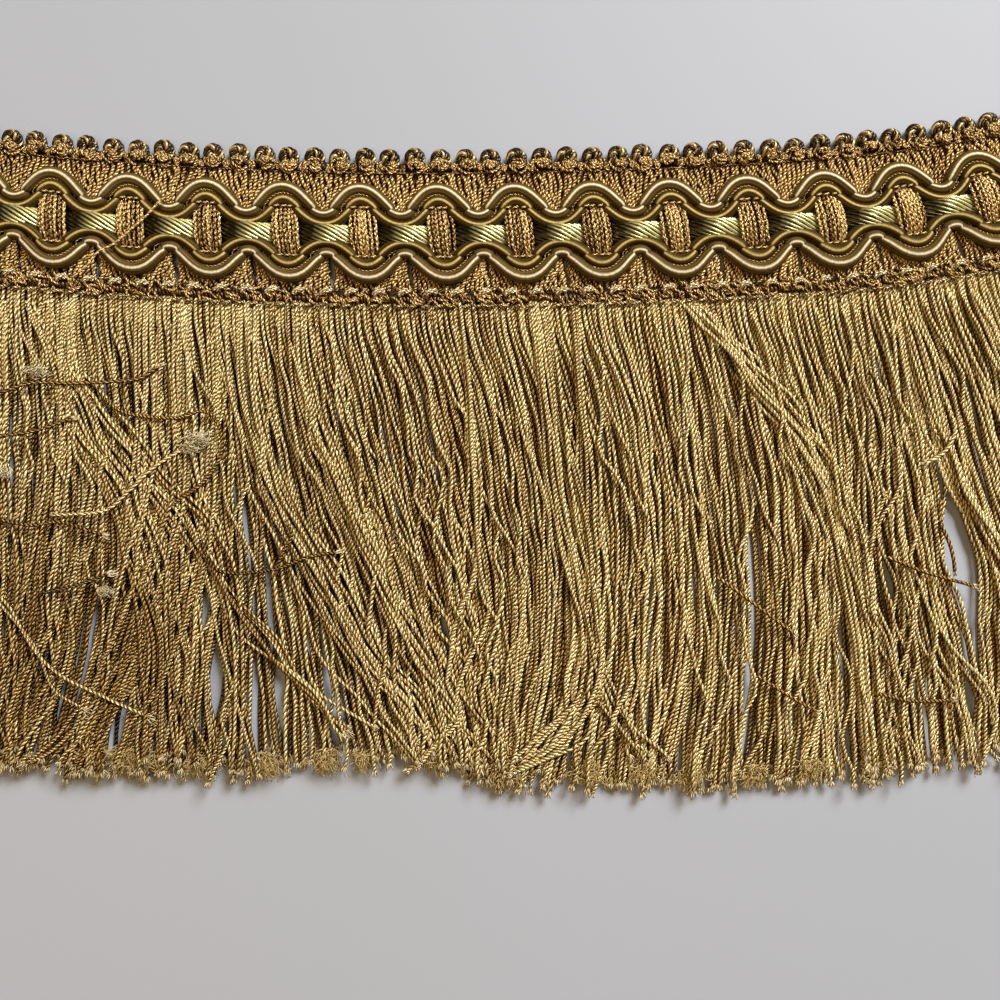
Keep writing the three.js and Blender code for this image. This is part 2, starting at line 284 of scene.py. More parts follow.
def length_property(name, description, default):
    """A real length that the panel shows in the scene's unit."""
    return bpy.props.FloatProperty(
        name=name, description=description, default=default, min=0.0, unit="LENGTH", precision=5
    )


def colour_property(name, description, code):
    """A colour that the panel shows, with its default as sRGB hex."""
    return bpy.props.FloatVectorProperty(
        name=name, description=description, default=linear(code), size=4, min=0.0, max=1.0, subtype="COLOR"
    )


class TrimSizes(bpy.types.PropertyGroup):
    """Real sizes of the trim's yarns and of its repeat"""

    wave: length_property("Wave", "Length of one wave of the gimp straps", 12.4 * MM)
    waves: bpy.props.IntProperty(name="Waves", description="Waves in the cut length", default=15, min=1)
    skew: bpy.props.FloatProperty(
        name="Skew", description="How far the weave leans along the trim for its width", default=0.12
    )
    cord: length_property("Skirt cord", "Thickness of one twisted cord of the skirt", 0.62 * MM)
    cord_bead: length_property("Skirt cord bead", "Length of one bead of the cord's twist", 0.78 * MM)
    ground_yarn: length_property("Ground yarn", "Thickness of the heading's ground yarn", 0.68 * MM)
    bar_yarn: length_property("Bar yarn", "Thickness of a ply of the bars' yarn", 0.4 * MM)
    gimp_cord: length_property("Gimp cord", "Thickness of one wrapped cord of a strap", 1.85 * MM)
    centre_strand: length_property("Centre strand", "Thickness of a strand of the centre twist", 0.42 * MM)
    cords_per_layer: bpy.props.IntProperty(
        name="Cords in the lowest layer",
        description="Skirt cords side by side on the floor",
        default=290,
        min=1,
    )
    seed: bpy.props.IntProperty(name="Seed", description="Start of the random lie of the cords", default=7)


class TrimColours(bpy.types.PropertyGroup):
    """Colours of the trim's yarns"""

    gold: colour_property("Gold cord", "Body of the skirt's cords", "#AC823D")
    # Painted shade in the grooves of the skirt's cords
    gold_deep: colour_property("Gold cord grooves", "Grooves of the skirt's cords", "#1E0F03")
    # Painted highlight on the crowns of the skirt's cords
    gold_light: colour_property("Gold cord crowns", "Crowns of the skirt's cords", "#FFE9A6")
    tan: colour_property("Tan yarn", "Body of the heading's yarns", "#865E29")
    # Painted shade in the grooves of the heading's yarns
    tan_deep: colour_property("Tan yarn grooves", "Grooves of the heading's yarns", "#1C0E03")
    # Painted highlight on the crowns of the heading's yarns
    tan_light: colour_property("Tan yarn crowns", "Crowns of the heading's yarns", "#EECA82")
    outer_gimp: colour_property("Outer gimp", "Outer cord of each strap", "#503E1C")
    inner_gimp: colour_property("Inner gimp", "Inner cord of each strap", "#37290E")
    # Lit colour of the centre strands, which their tone mixes with a near black painted shade
    lime: colour_property("Centre satin", "Strands of the centre twist", "#F0E9A8")
    cream: colour_property("Stitch thread", "Thread of the header's stitches", "#CBAE70")
    floor: colour_property("Floor", "The surface that the trim lies on", "#A6AAB1")


def lift(along):
    """How far the heading's middle has risen in Y: the square of the way from its low point over twice the
    arc's radius, and the same again from where the tighter turn starts."""
    from_low = along - LIE_LOW
    radius = np.where(from_low < 0, LIE_LEFT_RADIUS, LIE_RIGHT_RADIUS)
    turned = np.maximum(0, along - LIE_TURN_START)
    return from_low**2 / (2 * radius) + turned**2 / (2 * LIE_TURN_RADIUS)


def slope(along):
    """The rise of the heading's middle for each metre along, which is the derivative of lift."""
    from_low = along - LIE_LOW
    radius = np.where(from_low < 0, LIE_LEFT_RADIUS, LIE_RIGHT_RADIUS)
    return from_low / radius + np.maximum(0, along - LIE_TURN_START) / LIE_TURN_RADIUS


def place(along, across, height):
    """Points of the trim: the foot on the low curve, moved across along the curve's own normal, and up."""
    along, across, height = np.broadcast_arrays(along, across, height)
    foot = along - bpy.context.scene.trim_sizes.skew * across
    rise = slope(foot)
    norm = np.sqrt(1 + rise**2)
    return np.stack([foot - across * rise / norm, lift(foot) + across / norm, height], axis=-1)


def half_length():
    """Half the length of the heading, which is a whole number of waves."""
    sizes = bpy.context.scene.trim_sizes
    return sizes.wave * sizes.waves / 2


def bar_places():
    """Where the bars and the crests of the upper strap stand along the trim."""
    sizes = bpy.context.scene.trim_sizes
    return FIRST_CREST + sizes.wave * np.arange(sizes.waves)


def wave_phase(along):
    """The turn of the heading's waves in radians, which is nought at the first bar."""
    return 2 * np.pi * (along - FIRST_CREST) / bpy.context.scene.trim_sizes.wave


def along_heading(steps_per_wave):
    """Even places along the whole heading, end to end."""
    half = half_length()
    return np.linspace(-half, half, bpy.context.scene.trim_sizes.waves * steps_per_wave + 1)


def spaced(count, jitter, draw):
    """The middles of so many even spaces along the heading, each moved a little at random."""
    half = half_length()
    return -half + 2 * half * (np.arange(count) + 0.5) / count + jitter * draw.standard_normal(count)


def unit(vectors):
    """The vectors divided by their own lengths."""
    return vectors / np.maximum(np.linalg.norm(vectors, axis=-1, keepdims=True), 1e-12)


def side_and_up(ahead):
    """Sideways and upward directions for directions ahead: side is ahead x Z, and up is side x ahead."""
    beside = unit(np.cross(ahead, (0.0, 0.0, 1.0)))
    return beside, np.cross(beside, ahead)


def run_along(lines):
    """The length along each line up to each of its points, by summing the steps between them."""
    steps = np.linalg.norm(np.diff(lines, axis=1), axis=2)
    return np.concatenate([np.zeros((len(lines), 1)), np.cumsum(steps, axis=1)], axis=1)


def tubes(lines, radius, sides=5, start=0.0, tone=0.0, flat=1.0, turns=1.0):
    """Closed cords along lines, an array of cords by rings by 3.

    A ring's points are line + radius (cos turn * side + flat sin turn * up). The map's u is the length along
    the cord in millimetres times turns, from start, and its v is the turn from 0 to 1.
    """
    count, rings = lines.shape[:2]
    grid = (count, rings, sides)
    beside, above = side_and_up(unit(np.gradient(lines, axis=1)))
    turn = 2 * np.pi * np.arange(sides) / sides
    size = np.broadcast_to(radius, (count, rings))[:, :, None, None]
    around = np.cos(turn)[:, None] * beside[:, :, None] + flat * np.sin(turn)[:, None] * above[:, :, None]
    index = np.arange(count * rings * sides).reshape(grid)
    after = np.roll(index, -1, axis=2)
    quads = np.stack([index[:, :-1], index[:, 1:], after[:, 1:], after[:, :-1]], axis=-1)
    stretch = np.broadcast_to(turns, (count,))[:, None]
    along = run_along(lines) / MM * stretch + np.broadcast_to(start, (count,))[:, None]
    u = np.broadcast_to(along[:, :, None], grid)
    v = np.broadcast_to(np.arange(sides) / sides, grid)
    quad_u = np.stack([u[:, :-1], u[:, 1:], u[:, 1:], u[:, :-1]], axis=-1)
    quad_v = np.stack([v[:, :-1], v[:, 1:], v[:, 1:] + 1 / sides, v[:, :-1] + 1 / sides], axis=-1)
    ends = [(u[:, 0], v[:, 0]), (u[:, -1], v[:, -1, ::-1])]
    maps = [np.stack([one.ravel(), two.ravel()], axis=1) for one, two in [(quad_u, quad_v), *ends]]
    tone_shape = (-1, 1, 1) if np.ndim(tone) < 2 else (count, rings, 1)
    return {
        "points": (lines[:, :, None] + size * around).reshape(-1, 3),
        "corners": np.concatenate([quads.ravel(), index[:, 0].ravel(), index[:, -1, ::-1].ravel()]),
        "counts": np.concatenate([np.full(quads.size // 4, 4), np.full(2 * count, sides)]),
        "maps": np.concatenate(maps),
        "tone": np.broadcast_to(np.reshape(tone, tone_shape), grid).ravel(),
    }


def plied(lines, radius, plies, ply_radius, twist, phase=0.0, flat=1.0, **settings):
    """Cords of real plies: ply k runs along line + radius (cos a * side + flat sin a * up), with the angle a
    growing by a full turn every twist of length along the line, and starting at k / plies of a turn."""
    beside, above = side_and_up(unit(np.gradient(lines, axis=1)))
    along = run_along(lines)
    size = np.broadcast_to(radius, along.shape)[..., None]
    made = []
    for ply in range(plies):
        angle = 2 * np.pi * (along / twist + ply / plies) + np.reshape(phase, (-1, 1))
        offset = np.cos(angle)[..., None] * beside + flat * np.sin(angle)[..., None] * above
        made.append(tubes(lines + size * offset, ply_radius, **settings))
    return made


def sheet_grid(points, maps):
    """A grid surface facing up from an array of rows by columns by 3, with rows from low to high in Y."""
    rows, columns = points.shape[:2]
    index = np.arange(rows * columns).reshape(rows, columns)
    quads = np.stack([index[:-1, :-1], index[:-1, 1:], index[1:, 1:], index[1:, :-1]], axis=-1)
    corners = quads.ravel()
    return {
        "points": points.reshape(-1, 3),
        "corners": corners,
        "counts": np.full(len(corners) // 4, 4),
        "maps": maps.reshape(-1, 2)[corners],
        "tone": np.zeros(rows * columns),
    }


def joined(parts):
    """Several parts as one, with their point numbers moved on."""
    starts = np.cumsum([0] + [len(p["points"]) for p in parts[:-1]])
    whole = {key: np.concatenate([p[key] for p in parts]) for key in ("points", "counts", "maps", "tone")}
    whole["corners"] = np.concatenate([p["corners"] + start for p, start in zip(parts, starts)])
    return whole


def add_piece(name, part, material, slot, *replaced):
    """Makes the mesh object at the origin, rides it on the root body and hides the imported parts that it
    replaces.
    """
    mesh = bpy.data.meshes.new(name)
    counts, corners = part["counts"], part["corners"]
    mesh.vertices.add(len(part["points"]))
    mesh.vertices.foreach_set("co", part["points"].astype(np.float32).ravel())
    mesh.loops.add(len(corners))
    mesh.loops.foreach_set("vertex_index", corners.astype(np.int32))
    mesh.polygons.add(len(counts))
    starts = np.concatenate([[0], np.cumsum(counts)[:-1]])
    mesh.polygons.foreach_set("loop_start", starts.astype(np.int32))
    mesh.polygons.foreach_set("loop_total", counts.astype(np.int32))
    mesh.polygons.foreach_set("use_smooth", np.ones(len(counts), dtype=bool))
    mesh.update(calc_edges=True)
    layer = mesh.uv_layers.new(name="cord")
    layer.data.foreach_set("uv", part["maps"].astype(np.float32).ravel())
    tone = mesh.attributes.new("tone", "FLOAT", "POINT")
    tone.data.foreach_set("value", part["tone"].astype(np.float32))
    if mesh.validate():
        raise RuntimeError(f"{name} has faces that aren't valid")
    mesh.materials.append(material_named(material))
    piece = bpy.data.objects.new(name, mesh)
    bpy.context.scene.collection.objects.link(piece)
    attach(piece, "root")
    if replaced:
        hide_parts(*replaced)
    return piece


def add_node(tree, kind, inputs=None, **settings):
    """Adds a shader node with its settings, and fills its sockets from values, from other nodes' outputs or
    from other nodes, which stand for their first output."""
    made = tree.nodes.new("ShaderNode" + kind)
    for key, value in settings.items():
        setattr(made, key, value)
    for socket, value in (inputs or {}).items():
        source = value.outputs[0] if isinstance(value, bpy.types.Node) else value
        if isinstance(source, bpy.types.NodeSocket):
            tree.links.new(source, made.inputs[socket])
        else:
            made.inputs[socket].default_value = source
    return made


def new_material(name):
    """An empty material, and its tree to fill."""
    material = bpy.data.materials.new(name)
    material.use_nodes = True
    tree = material.node_tree
    tree.nodes.clear()
    return material, tree


# Real filaments are some hundredths of a millimetre thick, which is too fine to show here. They are drawn as
# streaks of noise about 0.45 mm long, 15 to a turn, and the threads of the gimp as rings of 0.3 mm.
STREAKS = {"run": 1.3, "round": 9.0, "scale": 1.7, "relief": 0.4}
# Real twist is uneven, so its beads drift by up to half a bead, by noise that changes over 1.25 mm
UNEVEN_TWIST = 0.8
# How bright a yarn is drawn, on the way from its groove's painted shade to its crown's painted highlight: at
# the middle, for a step of tone, and what its grooves, filaments and flanks add, the grooves and flanks as
# painted shade
SHADES = {"middle": 0.56, "tone": 0.17, "groove": -0.9, "filaments": 0.8, "painted_flank_shade": -0.55}
FLANK_POWER = 1.3
SHADE_STOPS = {"groove": 0.2, "body": 0.62, "crown": 1.0}
YARN_GLINT = "#FFE9BE"


def twisted_yarn(name, deep, body, light, bead, plies, shine):
    """Shiny plies twisted together, as a pattern on the cord's own map.

    The groove between plies lies where u / bead + plies * v + wobble is whole. A ply's crown is the parabola
    1 - (2 f - 1) squared of the fraction f between two grooves, and its colour sinks by that square squared:
    painted shade in the grooves, and a painted highlight on the crowns. Fine filaments add noise drawn out
    along the cord. The flanks, where 1 - sin(turn) is large, are darker: painted shade where the cords beside
    them shadow them.
    """
    material, tree = new_material(name)
    cord = add_node(tree, "UVMap", uv_map="cord")
    slow = add_node(tree, "Mapping", {"Vector": cord, "Scale": (UNEVEN_TWIST, 0.0, 0.0)})
    wobble = add_node(tree, "TexNoise", {"Vector": slow, "Scale": 1.0, "Detail": 1.0})
    split = add_node(tree, "SeparateXYZ", {0: cord})
    turn_share = split.outputs["Y"]
    along = add_node(tree, "Math", {0: split, 1: MM / bead, 2: wobble}, operation="MULTIPLY_ADD")
    around = add_node(tree, "Math", {0: turn_share, 1: float(plies), 2: along}, operation="MULTIPLY_ADD")
    fraction = add_node(tree, "Math", {0: around}, operation="FRACT")
    centred = add_node(tree, "Math", {0: fraction, 1: 2.0, 2: -1.0}, operation="MULTIPLY_ADD")
    square = add_node(tree, "Math", {0: centred, 1: centred}, operation="MULTIPLY")
    crown = add_node(tree, "Math", {0: 1.0, 1: square}, operation="SUBTRACT")
    drawn = add_node(tree, "Mapping", {"Vector": cord, "Scale": (STREAKS["run"], STREAKS["round"], 1.0)})
    filaments = add_node(tree, "TexNoise", {"Vector": drawn, "Scale": STREAKS["scale"], "Detail": 2.0})
    height = add_node(tree, "Math", {0: filaments, 1: STREAKS["relief"], 2: crown}, operation="MULTIPLY_ADD")
    bump = add_node(tree, "Bump", {"Strength": 1.0, "Distance": shine["relief"], "Height": height})
    tone = add_node(tree, "Attribute", attribute_name="tone").outputs["Fac"]
    # The flanks are darkened as painted shade
    turn = add_node(tree, "Math", {0: turn_share, 1: 2 * math.pi}, operation="MULTIPLY")
    upward = add_node(tree, "Math", {0: turn}, operation="SINE")
    sideways = add_node(tree, "Math", {0: 1.0, 1: upward}, operation="SUBTRACT", use_clamp=True)
    painted_flank_shade = add_node(tree, "Math", {0: sideways, 1: FLANK_POWER}, operation="POWER")
    fourth = add_node(tree, "Math", {0: square, 1: square}, operation="MULTIPLY")
    shade = SHADES["middle"]
    for amount, share in ((tone, "tone"), (fourth, "groove"), (filaments, "filaments"), (painted_flank_shade, "painted_flank_shade")):
        shade = add_node(tree, "Math", {0: amount, 1: SHADES[share], 2: shade}, operation="MULTIPLY_ADD")
    # The ramp paints shade in the grooves and a highlight on the crowns
    ramp = add_node(tree, "ValToRGB", {0: shade})
    groove_stop, crown_stop = ramp.color_ramp.elements
    groove_stop.position = SHADE_STOPS["groove"]
    groove_stop.color = deep
    crown_stop.position = SHADE_STOPS["crown"]
    crown_stop.color = light
    ramp.color_ramp.elements.new(SHADE_STOPS["body"]).color = body
    surface = {
        "Base Color": ramp,
        "Roughness": shine["roughness"],
        "Metallic": shine["metallic"],
        "Specular IOR Level": shine["specular"],
        "Specular Tint": linear(YARN_GLINT),
        "Normal": bump,
    }
    shader = add_node(tree, "BsdfPrincipled", surface)
    add_node(tree, "OutputMaterial", {"Surface": shader})
    return material


# The satin's threads: how far one runs round the cord, and how high its relief stands
THREAD_ROUND = 0.35
THREAD_RELIEF = 0.02 * MM
# The painted highlight line along a gimp cord: its place in the turn, where its edge starts and ends as
# shares of the turn, and how the noise of the threads breaks it
HIGHLIGHT_LINE_TURN = 0.275
HIGHLIGHT_LINE_EDGES = (0.002, 0.05)
HIGHLIGHT_LINE_BREAKS = (1.5, 0.15)
# Dark lays of thread round a gimp cord: how many, how much of the shade they take, and their colour
DARK_LAYS = 11
DARK_SHARE = 0.3
DARK_THREAD = "#120B02"
# How unevenly the painted light falls on the strands of the centre twist
STRAND_UNEVEN = 0.6


def satin_cord(name, body, light, wrap, shine, tint, painted_highlight=None):
    """Fine satin thread wound round a core: threads run round the cord, so light draws one line along it.

    With a painted highlight colour, the crown's threads take it along a narrow line, by a smooth step of the
    distance between the map's v and the line's place in the turn, broken by the threads. Dark lays, by the
    sine of v, stand beside it. Without one, the tone paints how far each strand is lit, as painted light and
    shade.
    """
    material, tree = new_material(name)
    cord = add_node(tree, "UVMap", uv_map="cord")
    turns = add_node(tree, "Mapping", {"Vector": cord, "Scale": (MM / wrap, THREAD_ROUND, 1.0)})
    threads = add_node(tree, "TexNoise", {"Vector": turns, "Scale": 1.0, "Detail": 3.0})
    bump = add_node(tree, "Bump", {"Strength": 0.5, "Distance": THREAD_RELIEF, "Height": threads})
    if painted_highlight:
        around = add_node(tree, "SeparateXYZ", {0: cord}).outputs["Y"]
        turn = add_node(tree, "Math", {0: around, 1: 2 * math.pi * DARK_LAYS}, operation="MULTIPLY")
        lay = add_node(tree, "Math", {0: turn}, operation="SINE")
        darkened = {0: lay, 1: DARK_SHARE, 2: DARK_SHARE}
        dark = add_node(tree, "Math", darkened, operation="MULTIPLY_ADD", use_clamp=True)
        # A narrow painted highlight along the crown
        off = add_node(tree, "Math", {0: around, 1: HIGHLIGHT_LINE_TURN}, operation="SUBTRACT")
        apart = add_node(tree, "Math", {0: off}, operation="ABSOLUTE")
        near, far = HIGHLIGHT_LINE_EDGES
        line = {"Value": apart, "From Min": near, "From Max": far, "To Min": 1.0, "To Max": 0.0}
        crown = add_node(tree, "MapRange", line, interpolation_type="SMOOTHSTEP")
        gain, least = HIGHLIGHT_LINE_BREAKS
        gaps = {0: threads, 1: gain, 2: least}
        broken = add_node(tree, "Math", gaps, operation="MULTIPLY_ADD", use_clamp=True)
        highlight_line = add_node(tree, "Math", {0: crown, 1: broken}, operation="MULTIPLY")
        layers = ((threads, light), (dark, linear(DARK_THREAD)), (highlight_line, painted_highlight))
    else:
        # The tone paints light and shade on the strands
        tone = add_node(tree, "Attribute", attribute_name="tone").outputs["Fac"]
        spread = {0: threads, 1: STRAND_UNEVEN, 2: -STRAND_UNEVEN / 2}
        uneven = add_node(tree, "Math", spread, operation="MULTIPLY_ADD")
        lit = add_node(tree, "Math", {0: uneven, 1: tone}, operation="ADD", use_clamp=True)
        layers = ((lit, light),)
    shade = body
    for share, colour in layers:
        mixed = add_node(tree, "Mix", data_type="RGBA", inputs={"Factor": share, 6: shade, 7: colour})
        shade = mixed.outputs[2]
    tangent = add_node(tree, "Tangent", direction_type="UV_MAP", uv_map="cord")
    surface = {
        "Base Color": shade,
        "Roughness": shine["roughness"],
        "Metallic": shine["metallic"],
        "Specular IOR Level": shine["specular"],
        "IOR": shine["ior"],
        "Specular Tint": tint,
        "Anisotropic": shine["anisotropic"],
        "Normal": bump,
        "Tangent": tangent,
    }
    shader = add_node(tree, "BsdfPrincipled", surface)
    add_node(tree, "OutputMaterial", {"Surface": shader})
    return material


def woven_ground(name):
    """Plain woven band: dull weft ribs 0.35 mm apart, with a fine broken sheen, on the sheet's own map.

    A wave's period is a tenth of pi over its scale, in the map's millimetres.
    """
    material, tree = new_material(name)
    cloth = add_node(tree, "UVMap", uv_map="cord")
    ribs = add_node(tree, "TexWave", {"Vector": cloth, "Scale": 0.9, "Distortion": 1.2, "Detail": 2.0})
    risen = ribs.outputs["Fac"]
    bump = add_node(tree, "Bump", {"Strength": 0.8, "Distance": 0.12 * MM, "Height": risen})
    colours = {"Factor": risen, 6: linear("#3A2408"), 7: linear("#6A4A1C")}
    shade = add_node(tree, "Mix", colours, data_type="RGBA").outputs[2]
    surface = {"Base Color": shade, "Roughness": 0.8, "Specular IOR Level": 0.1, "Normal": bump}
    shader = add_node(tree, "BsdfPrincipled", surface)
    add_node(tree, "OutputMaterial", {"Surface": shader})
    return material


def painted_floor(name):
    """Matt painted board: plain and pale, with clouds of a colour 4% paler, about 120 mm across."""
    material, tree = new_material(name)
    colour = tuple(bpy.context.scene.trim_colours.floor)
    paler = tuple(min(1.0, c * 1.04) for c in colour[:3]) + (1.0,)
    spot = add_node(tree, "TexCoord").outputs["Object"]
    cloud = add_node(tree, "TexNoise", {"Vector": spot, "Scale": 8.0, "Detail": 2.0})
    shade = add_node(tree, "Mix", {"Factor": cloud, 6: colour, 7: paler}, data_type="RGBA").outputs[2]
    shader = add_node(tree, "BsdfPrincipled", {"Base Color": shade, "Roughness": 0.6})
    add_node(tree, "OutputMaterial", {"Surface": shader})
    return material


# Finishes, from polished viscose to dull fluff. The metallic part tints the glints with the yarn's own
# colour, as dyed filaments do.
CORD_SHINE = {"roughness": 0.3, "metallic": 0.4, "specular": 1.0, "relief": 0.28 * MM}
YARN_SHINE = {"roughness": 0.28, "metallic": 0.4, "specular": 1.0, "relief": 0.18 * MM}
FLUFF_SHINE = {"roughness": 0.6, "metallic": 0.0, "specular": 0.4, "relief": 0.1 * MM}
GIMP_SHINE = {"roughness": 0.4, "metallic": 0.0, "specular": 0.35, "anisotropic": 1.0, "ior": 1.45}
STRAND_SHINE = {"roughness": 0.3, "metallic": 0.6, "specular": 1.0, "anisotropic": 0.0, "ior": 1.5}

# Yarns: the colours of their grooves' painted shade, body and crowns' painted highlight, as the panel's or as
# sRGB hex, the length of a bead of twist, the plies and the finish. The skirt's cord takes its bead from the
# panel.
YARNS = {
    # Bright viscose in two plies: glossy crowns with a painted highlight over near black grooves of painted
    # shade, which make the skirt glitter
    "viscose_cord_twisted_gold": ("gold_deep", "gold", "gold_light", None, 2, CORD_SHINE),
    # Finer two-ply viscose: small close beads, so the heading looks grainy and browner than the skirt
    "viscose_yarn_two_ply_tan": ("tan_deep", "tan", "tan_light", 0.62 * MM, 2, YARN_SHINE),
    # One soft ply: long slanting glints, partly gloss and partly painted highlight, for yarns whose plies are
    # real shapes
    "viscose_ply_soft_tan": ("tan_deep", "tan", "tan_light", 1.1 * MM, 1, YARN_SHINE),
    # One smooth ply, hardly twisted: dark and wet looking, with a long pale glint, partly gloss and partly
    # painted highlight
    "viscose_ply_smooth_brown": ("tan_deep", "#3F2B12", "#CDB078", 2.2 * MM, 1, YARN_SHINE),
    # Loose filaments: no dark grooves and hardly a glint, so they look like soft fluff
    "viscose_filaments_loose_gold": ("#8E6830", "#CBA65C", "#F2DA98", 2.0 * MM, 1, FLUFF_SHINE),
    # Frayed cut ends: filaments that light goes through, so they look paler than their cord
    "viscose_ends_frayed_pale": ("#8E6A34", "#C9AE74", "#F2E6C0", 1.3 * MM, 1, FLUFF_SHINE),
    # Pale cotton in two fine plies: small round stitches that stand out from the tan yarn
    "cotton_stitch_thread_cream": ("tan_deep", "cream", "#F8E6B6", 0.5 * MM, 2, YARN_SHINE),
}
# Satins: the colours of their shaded and lit threads, a thread's width, the finish, the glint's tint and the
# colour of the painted highlight line
SATINS = {
    # Rayon satin wound hard round a core: smooth dark olive, with one pale painted highlight line along its
    # crown
    "rayon_satin_gimp_outer": ("outer_gimp", "#765D2D", 0.3 * MM, GIMP_SHINE, "#F8DDA8", "#F2E4BE"),
    # The same on the inner cord: darker olive, with a thin painted highlight line of old gold
    "rayon_satin_gimp_inner": ("inner_gimp", "#54411B", 0.3 * MM, GIMP_SHINE, "#F0D890", "#CCB06A"),
    # Untwisted satin filaments: painted pale lime where a strand rises into the light, and painted near black
    # shade where it dips
    "rayon_satin_strand_lime": ("#2E240E", "lime", 0.9 * MM, STRAND_SHINE, "#FFFCC8", None),
}
# Dull surfaces that are neither yarn nor satin, each with its own pattern
PLAIN = {"woven_weft_rib_tan": woven_ground, "painted_board_pale_grey": painted_floor}


def colour_of(value):
    """A table's colour: sRGB hex turned to linear, or the panel's colour of that name. None stays None."""
    if value is None:
        return None
    if value.startswith("#"):
        return linear(value)
    return getattr(bpy.context.scene.trim_colours, value)


def material_named(name):
    """The trim's materials, each made once and named for what it really is."""
    if name in bpy.data.materials:
        return bpy.data.materials[name]
    if name in YARNS:
        *colours, bead, plies, shine = YARNS[name]
        bead = bead or bpy.context.scene.trim_sizes.cord_bead
        return twisted_yarn(name, *map(colour_of, colours), bead, plies, shine)
    if name in SATINS:
        body, light, wrap, shine, *tints = SATINS[name]
        return satin_cord(name, colour_of(body), colour_of(light), wrap, shine, *map(colour_of, tints))
    return PLAIN[name](name)


def smooth_lines(points, samples):
    """Lines through given points, an array of lines by points by 3: Catmull-Rom cubics, sampled evenly."""
    before = 2 * points[:, :1] - points[:, 1:2]
    after = 2 * points[:, -1:] - points[:, -2:-1]
    knots = np.concatenate([before, points, after], axis=1)
    t = np.linspace(0, points.shape[1] - 1, samples)
    piece = np.minimum(t.astype(int), points.shape[1] - 2)
    s = (t - piece)[None, :, None]
    a, b, c, d = (knots[:, piece + k] for k in range(4))
    return 0.5 * (2 * b + (c - a) * s + (2 * a - 5 * b + 4 * c - d) * s**2 + (3 * b - a - 3 * c + d) * s**3)


def half_view():
    """The tangent of half the camera's angle of view."""
    return math.tan(math.radians(CAMERA["view_angle"] / 2))


def camera_axes():
    """The camera's place and its right, up and forward directions, looking along +Y and down."""
    tilt = math.radians(CAMERA["elevation"])
    forward = np.array([0.0, math.cos(tilt), -math.sin(tilt)])
    up = np.array([0.0, math.sin(tilt), math.cos(tilt)])
    eye = np.array(CAMERA["look_at"]) - CAMERA["distance"] * forward
    return eye, np.array([1.0, 0.0, 0.0]), up, forward


def seen_at(pixels, height):
    """Places at a height over the surface that the frame shows at given pixels, as pairs of right and down:
    where the ray forward + x right + y up from the eye comes down to that height."""
    eye, right, up, forward = camera_axes()
    pixels = np.asarray(pixels, float)
    focal = FRAME_PIXELS / 2 / half_view()
    x = (pixels[..., :1] - FRAME_PIXELS / 2) / focal
    y = (FRAME_PIXELS / 2 - pixels[..., 1:2]) / focal
    rays = forward + x * right + y * up
    height = np.broadcast_to(height, rays.shape[:-1])[..., None]
    return eye + rays * (height - eye[2]) / rays[..., 2:]


def stand(context, name, thing, spot, ahead):
    """Adds a light or a camera at a spot of the stage, turned to look ahead."""
    holder = bpy.data.objects.new(name, thing)
    holder.location = spot
    holder.rotation_mode = "QUATERNION"
    holder.rotation_quaternion = Vector(ahead).to_track_quat("-Z", "Y")
    context.scene.collection.objects.link(holder)
    return holder


class TRIM_OT_stage(bpy.types.Operator):
    """Lays the pale floor and sets the soft studio light and the camera"""

    bl_idname = "trim.stage"
    bl_label = "Stage"

    def execute(self, context):
        side = FLOOR_HALF_WIDTH
        mesh = bpy.data.meshes.new("floor")
        corners = [(-side, -side, 0), (side, -side, 0), (side, side, 0), (-side, side, 0)]
        mesh.from_pydata(corners, [], [(0, 1, 2, 3)])
        mesh.materials.append(material_named("painted_board_pale_grey"))
        floor = bpy.data.objects.new("floor", mesh)
        context.scene.collection.objects.link(floor)

        world = bpy.data.worlds.new("studio")
        world.use_nodes = True
        sky = world.node_tree.nodes["Background"].inputs
        sky["Color"].default_value = linear(ROOM_LIGHT["colour"])
        sky["Strength"].default_value = ROOM_LIGHT["strength"]
        context.scene.world = world
        context.scene.view_settings.view_transform = "Standard"

        for name, spot, size, power, colour in LIGHTS:
            light = bpy.data.lights.new(name, "AREA")
            light.color = linear(colour)[:3]
            light.size = size
            light.energy = power
            stand(context, name, light, spot, np.array(CAMERA["look_at"]) - np.array(spot))

        eye, _, _, forward = camera_axes()
        lens = bpy.data.cameras.new("camera")
        lens.sensor_width = 36
        lens.lens = lens.sensor_width / 2 / half_view()
        lens.clip_start = 0.005
        lens.clip_end = 10
        context.scene.camera = stand(context, "camera", lens, eye, forward)
        return {"FINISHED"}


def fan_lines(draw, middles, shift, gather, ends, height, slit=0.0):
    """Yarns of every fan of the ground, from one end across to the other.

    A yarn stands off its fan's middle by its share of a wave times 1 - gather. A slit pushes it further out,
    by exp(-9 times the share) times a sine of the way across, which opens a gap at the fan's middle.
    """
    wave = bpy.context.scene.trim_sizes.wave
    shares = (np.arange(FAN_YARNS) + 0.5) / FAN_YARNS - 0.5 + shift / FAN_YARNS
    way = np.linspace(0, 1, FAN_POINTS)
    offsets = shares[None, :, None] * (1 - gather)
    along = middles[:, :, None] + wave * offsets
    wide = slit * draw.uniform(0.5, 1.3, (len(middles), 1, 1))
    opened = wide * np.sign(offsets) * np.exp(-np.abs(offsets) * 9) * np.sin(np.pi * way**0.8) ** 0.7
    crimp = 0.16 * MM * draw.standard_normal(along.shape)
    start, end = ends
    lines = place(along + opened + crimp, start + way * (end - start), height).reshape(-1, FAN_POINTS, 3)
    lines[:, :, 2] += 0.1 * MM * draw.standard_normal(lines.shape[:2])
    return lines[np.abs(lines[:, 0, 0]) < half_length() + 1 * MM]


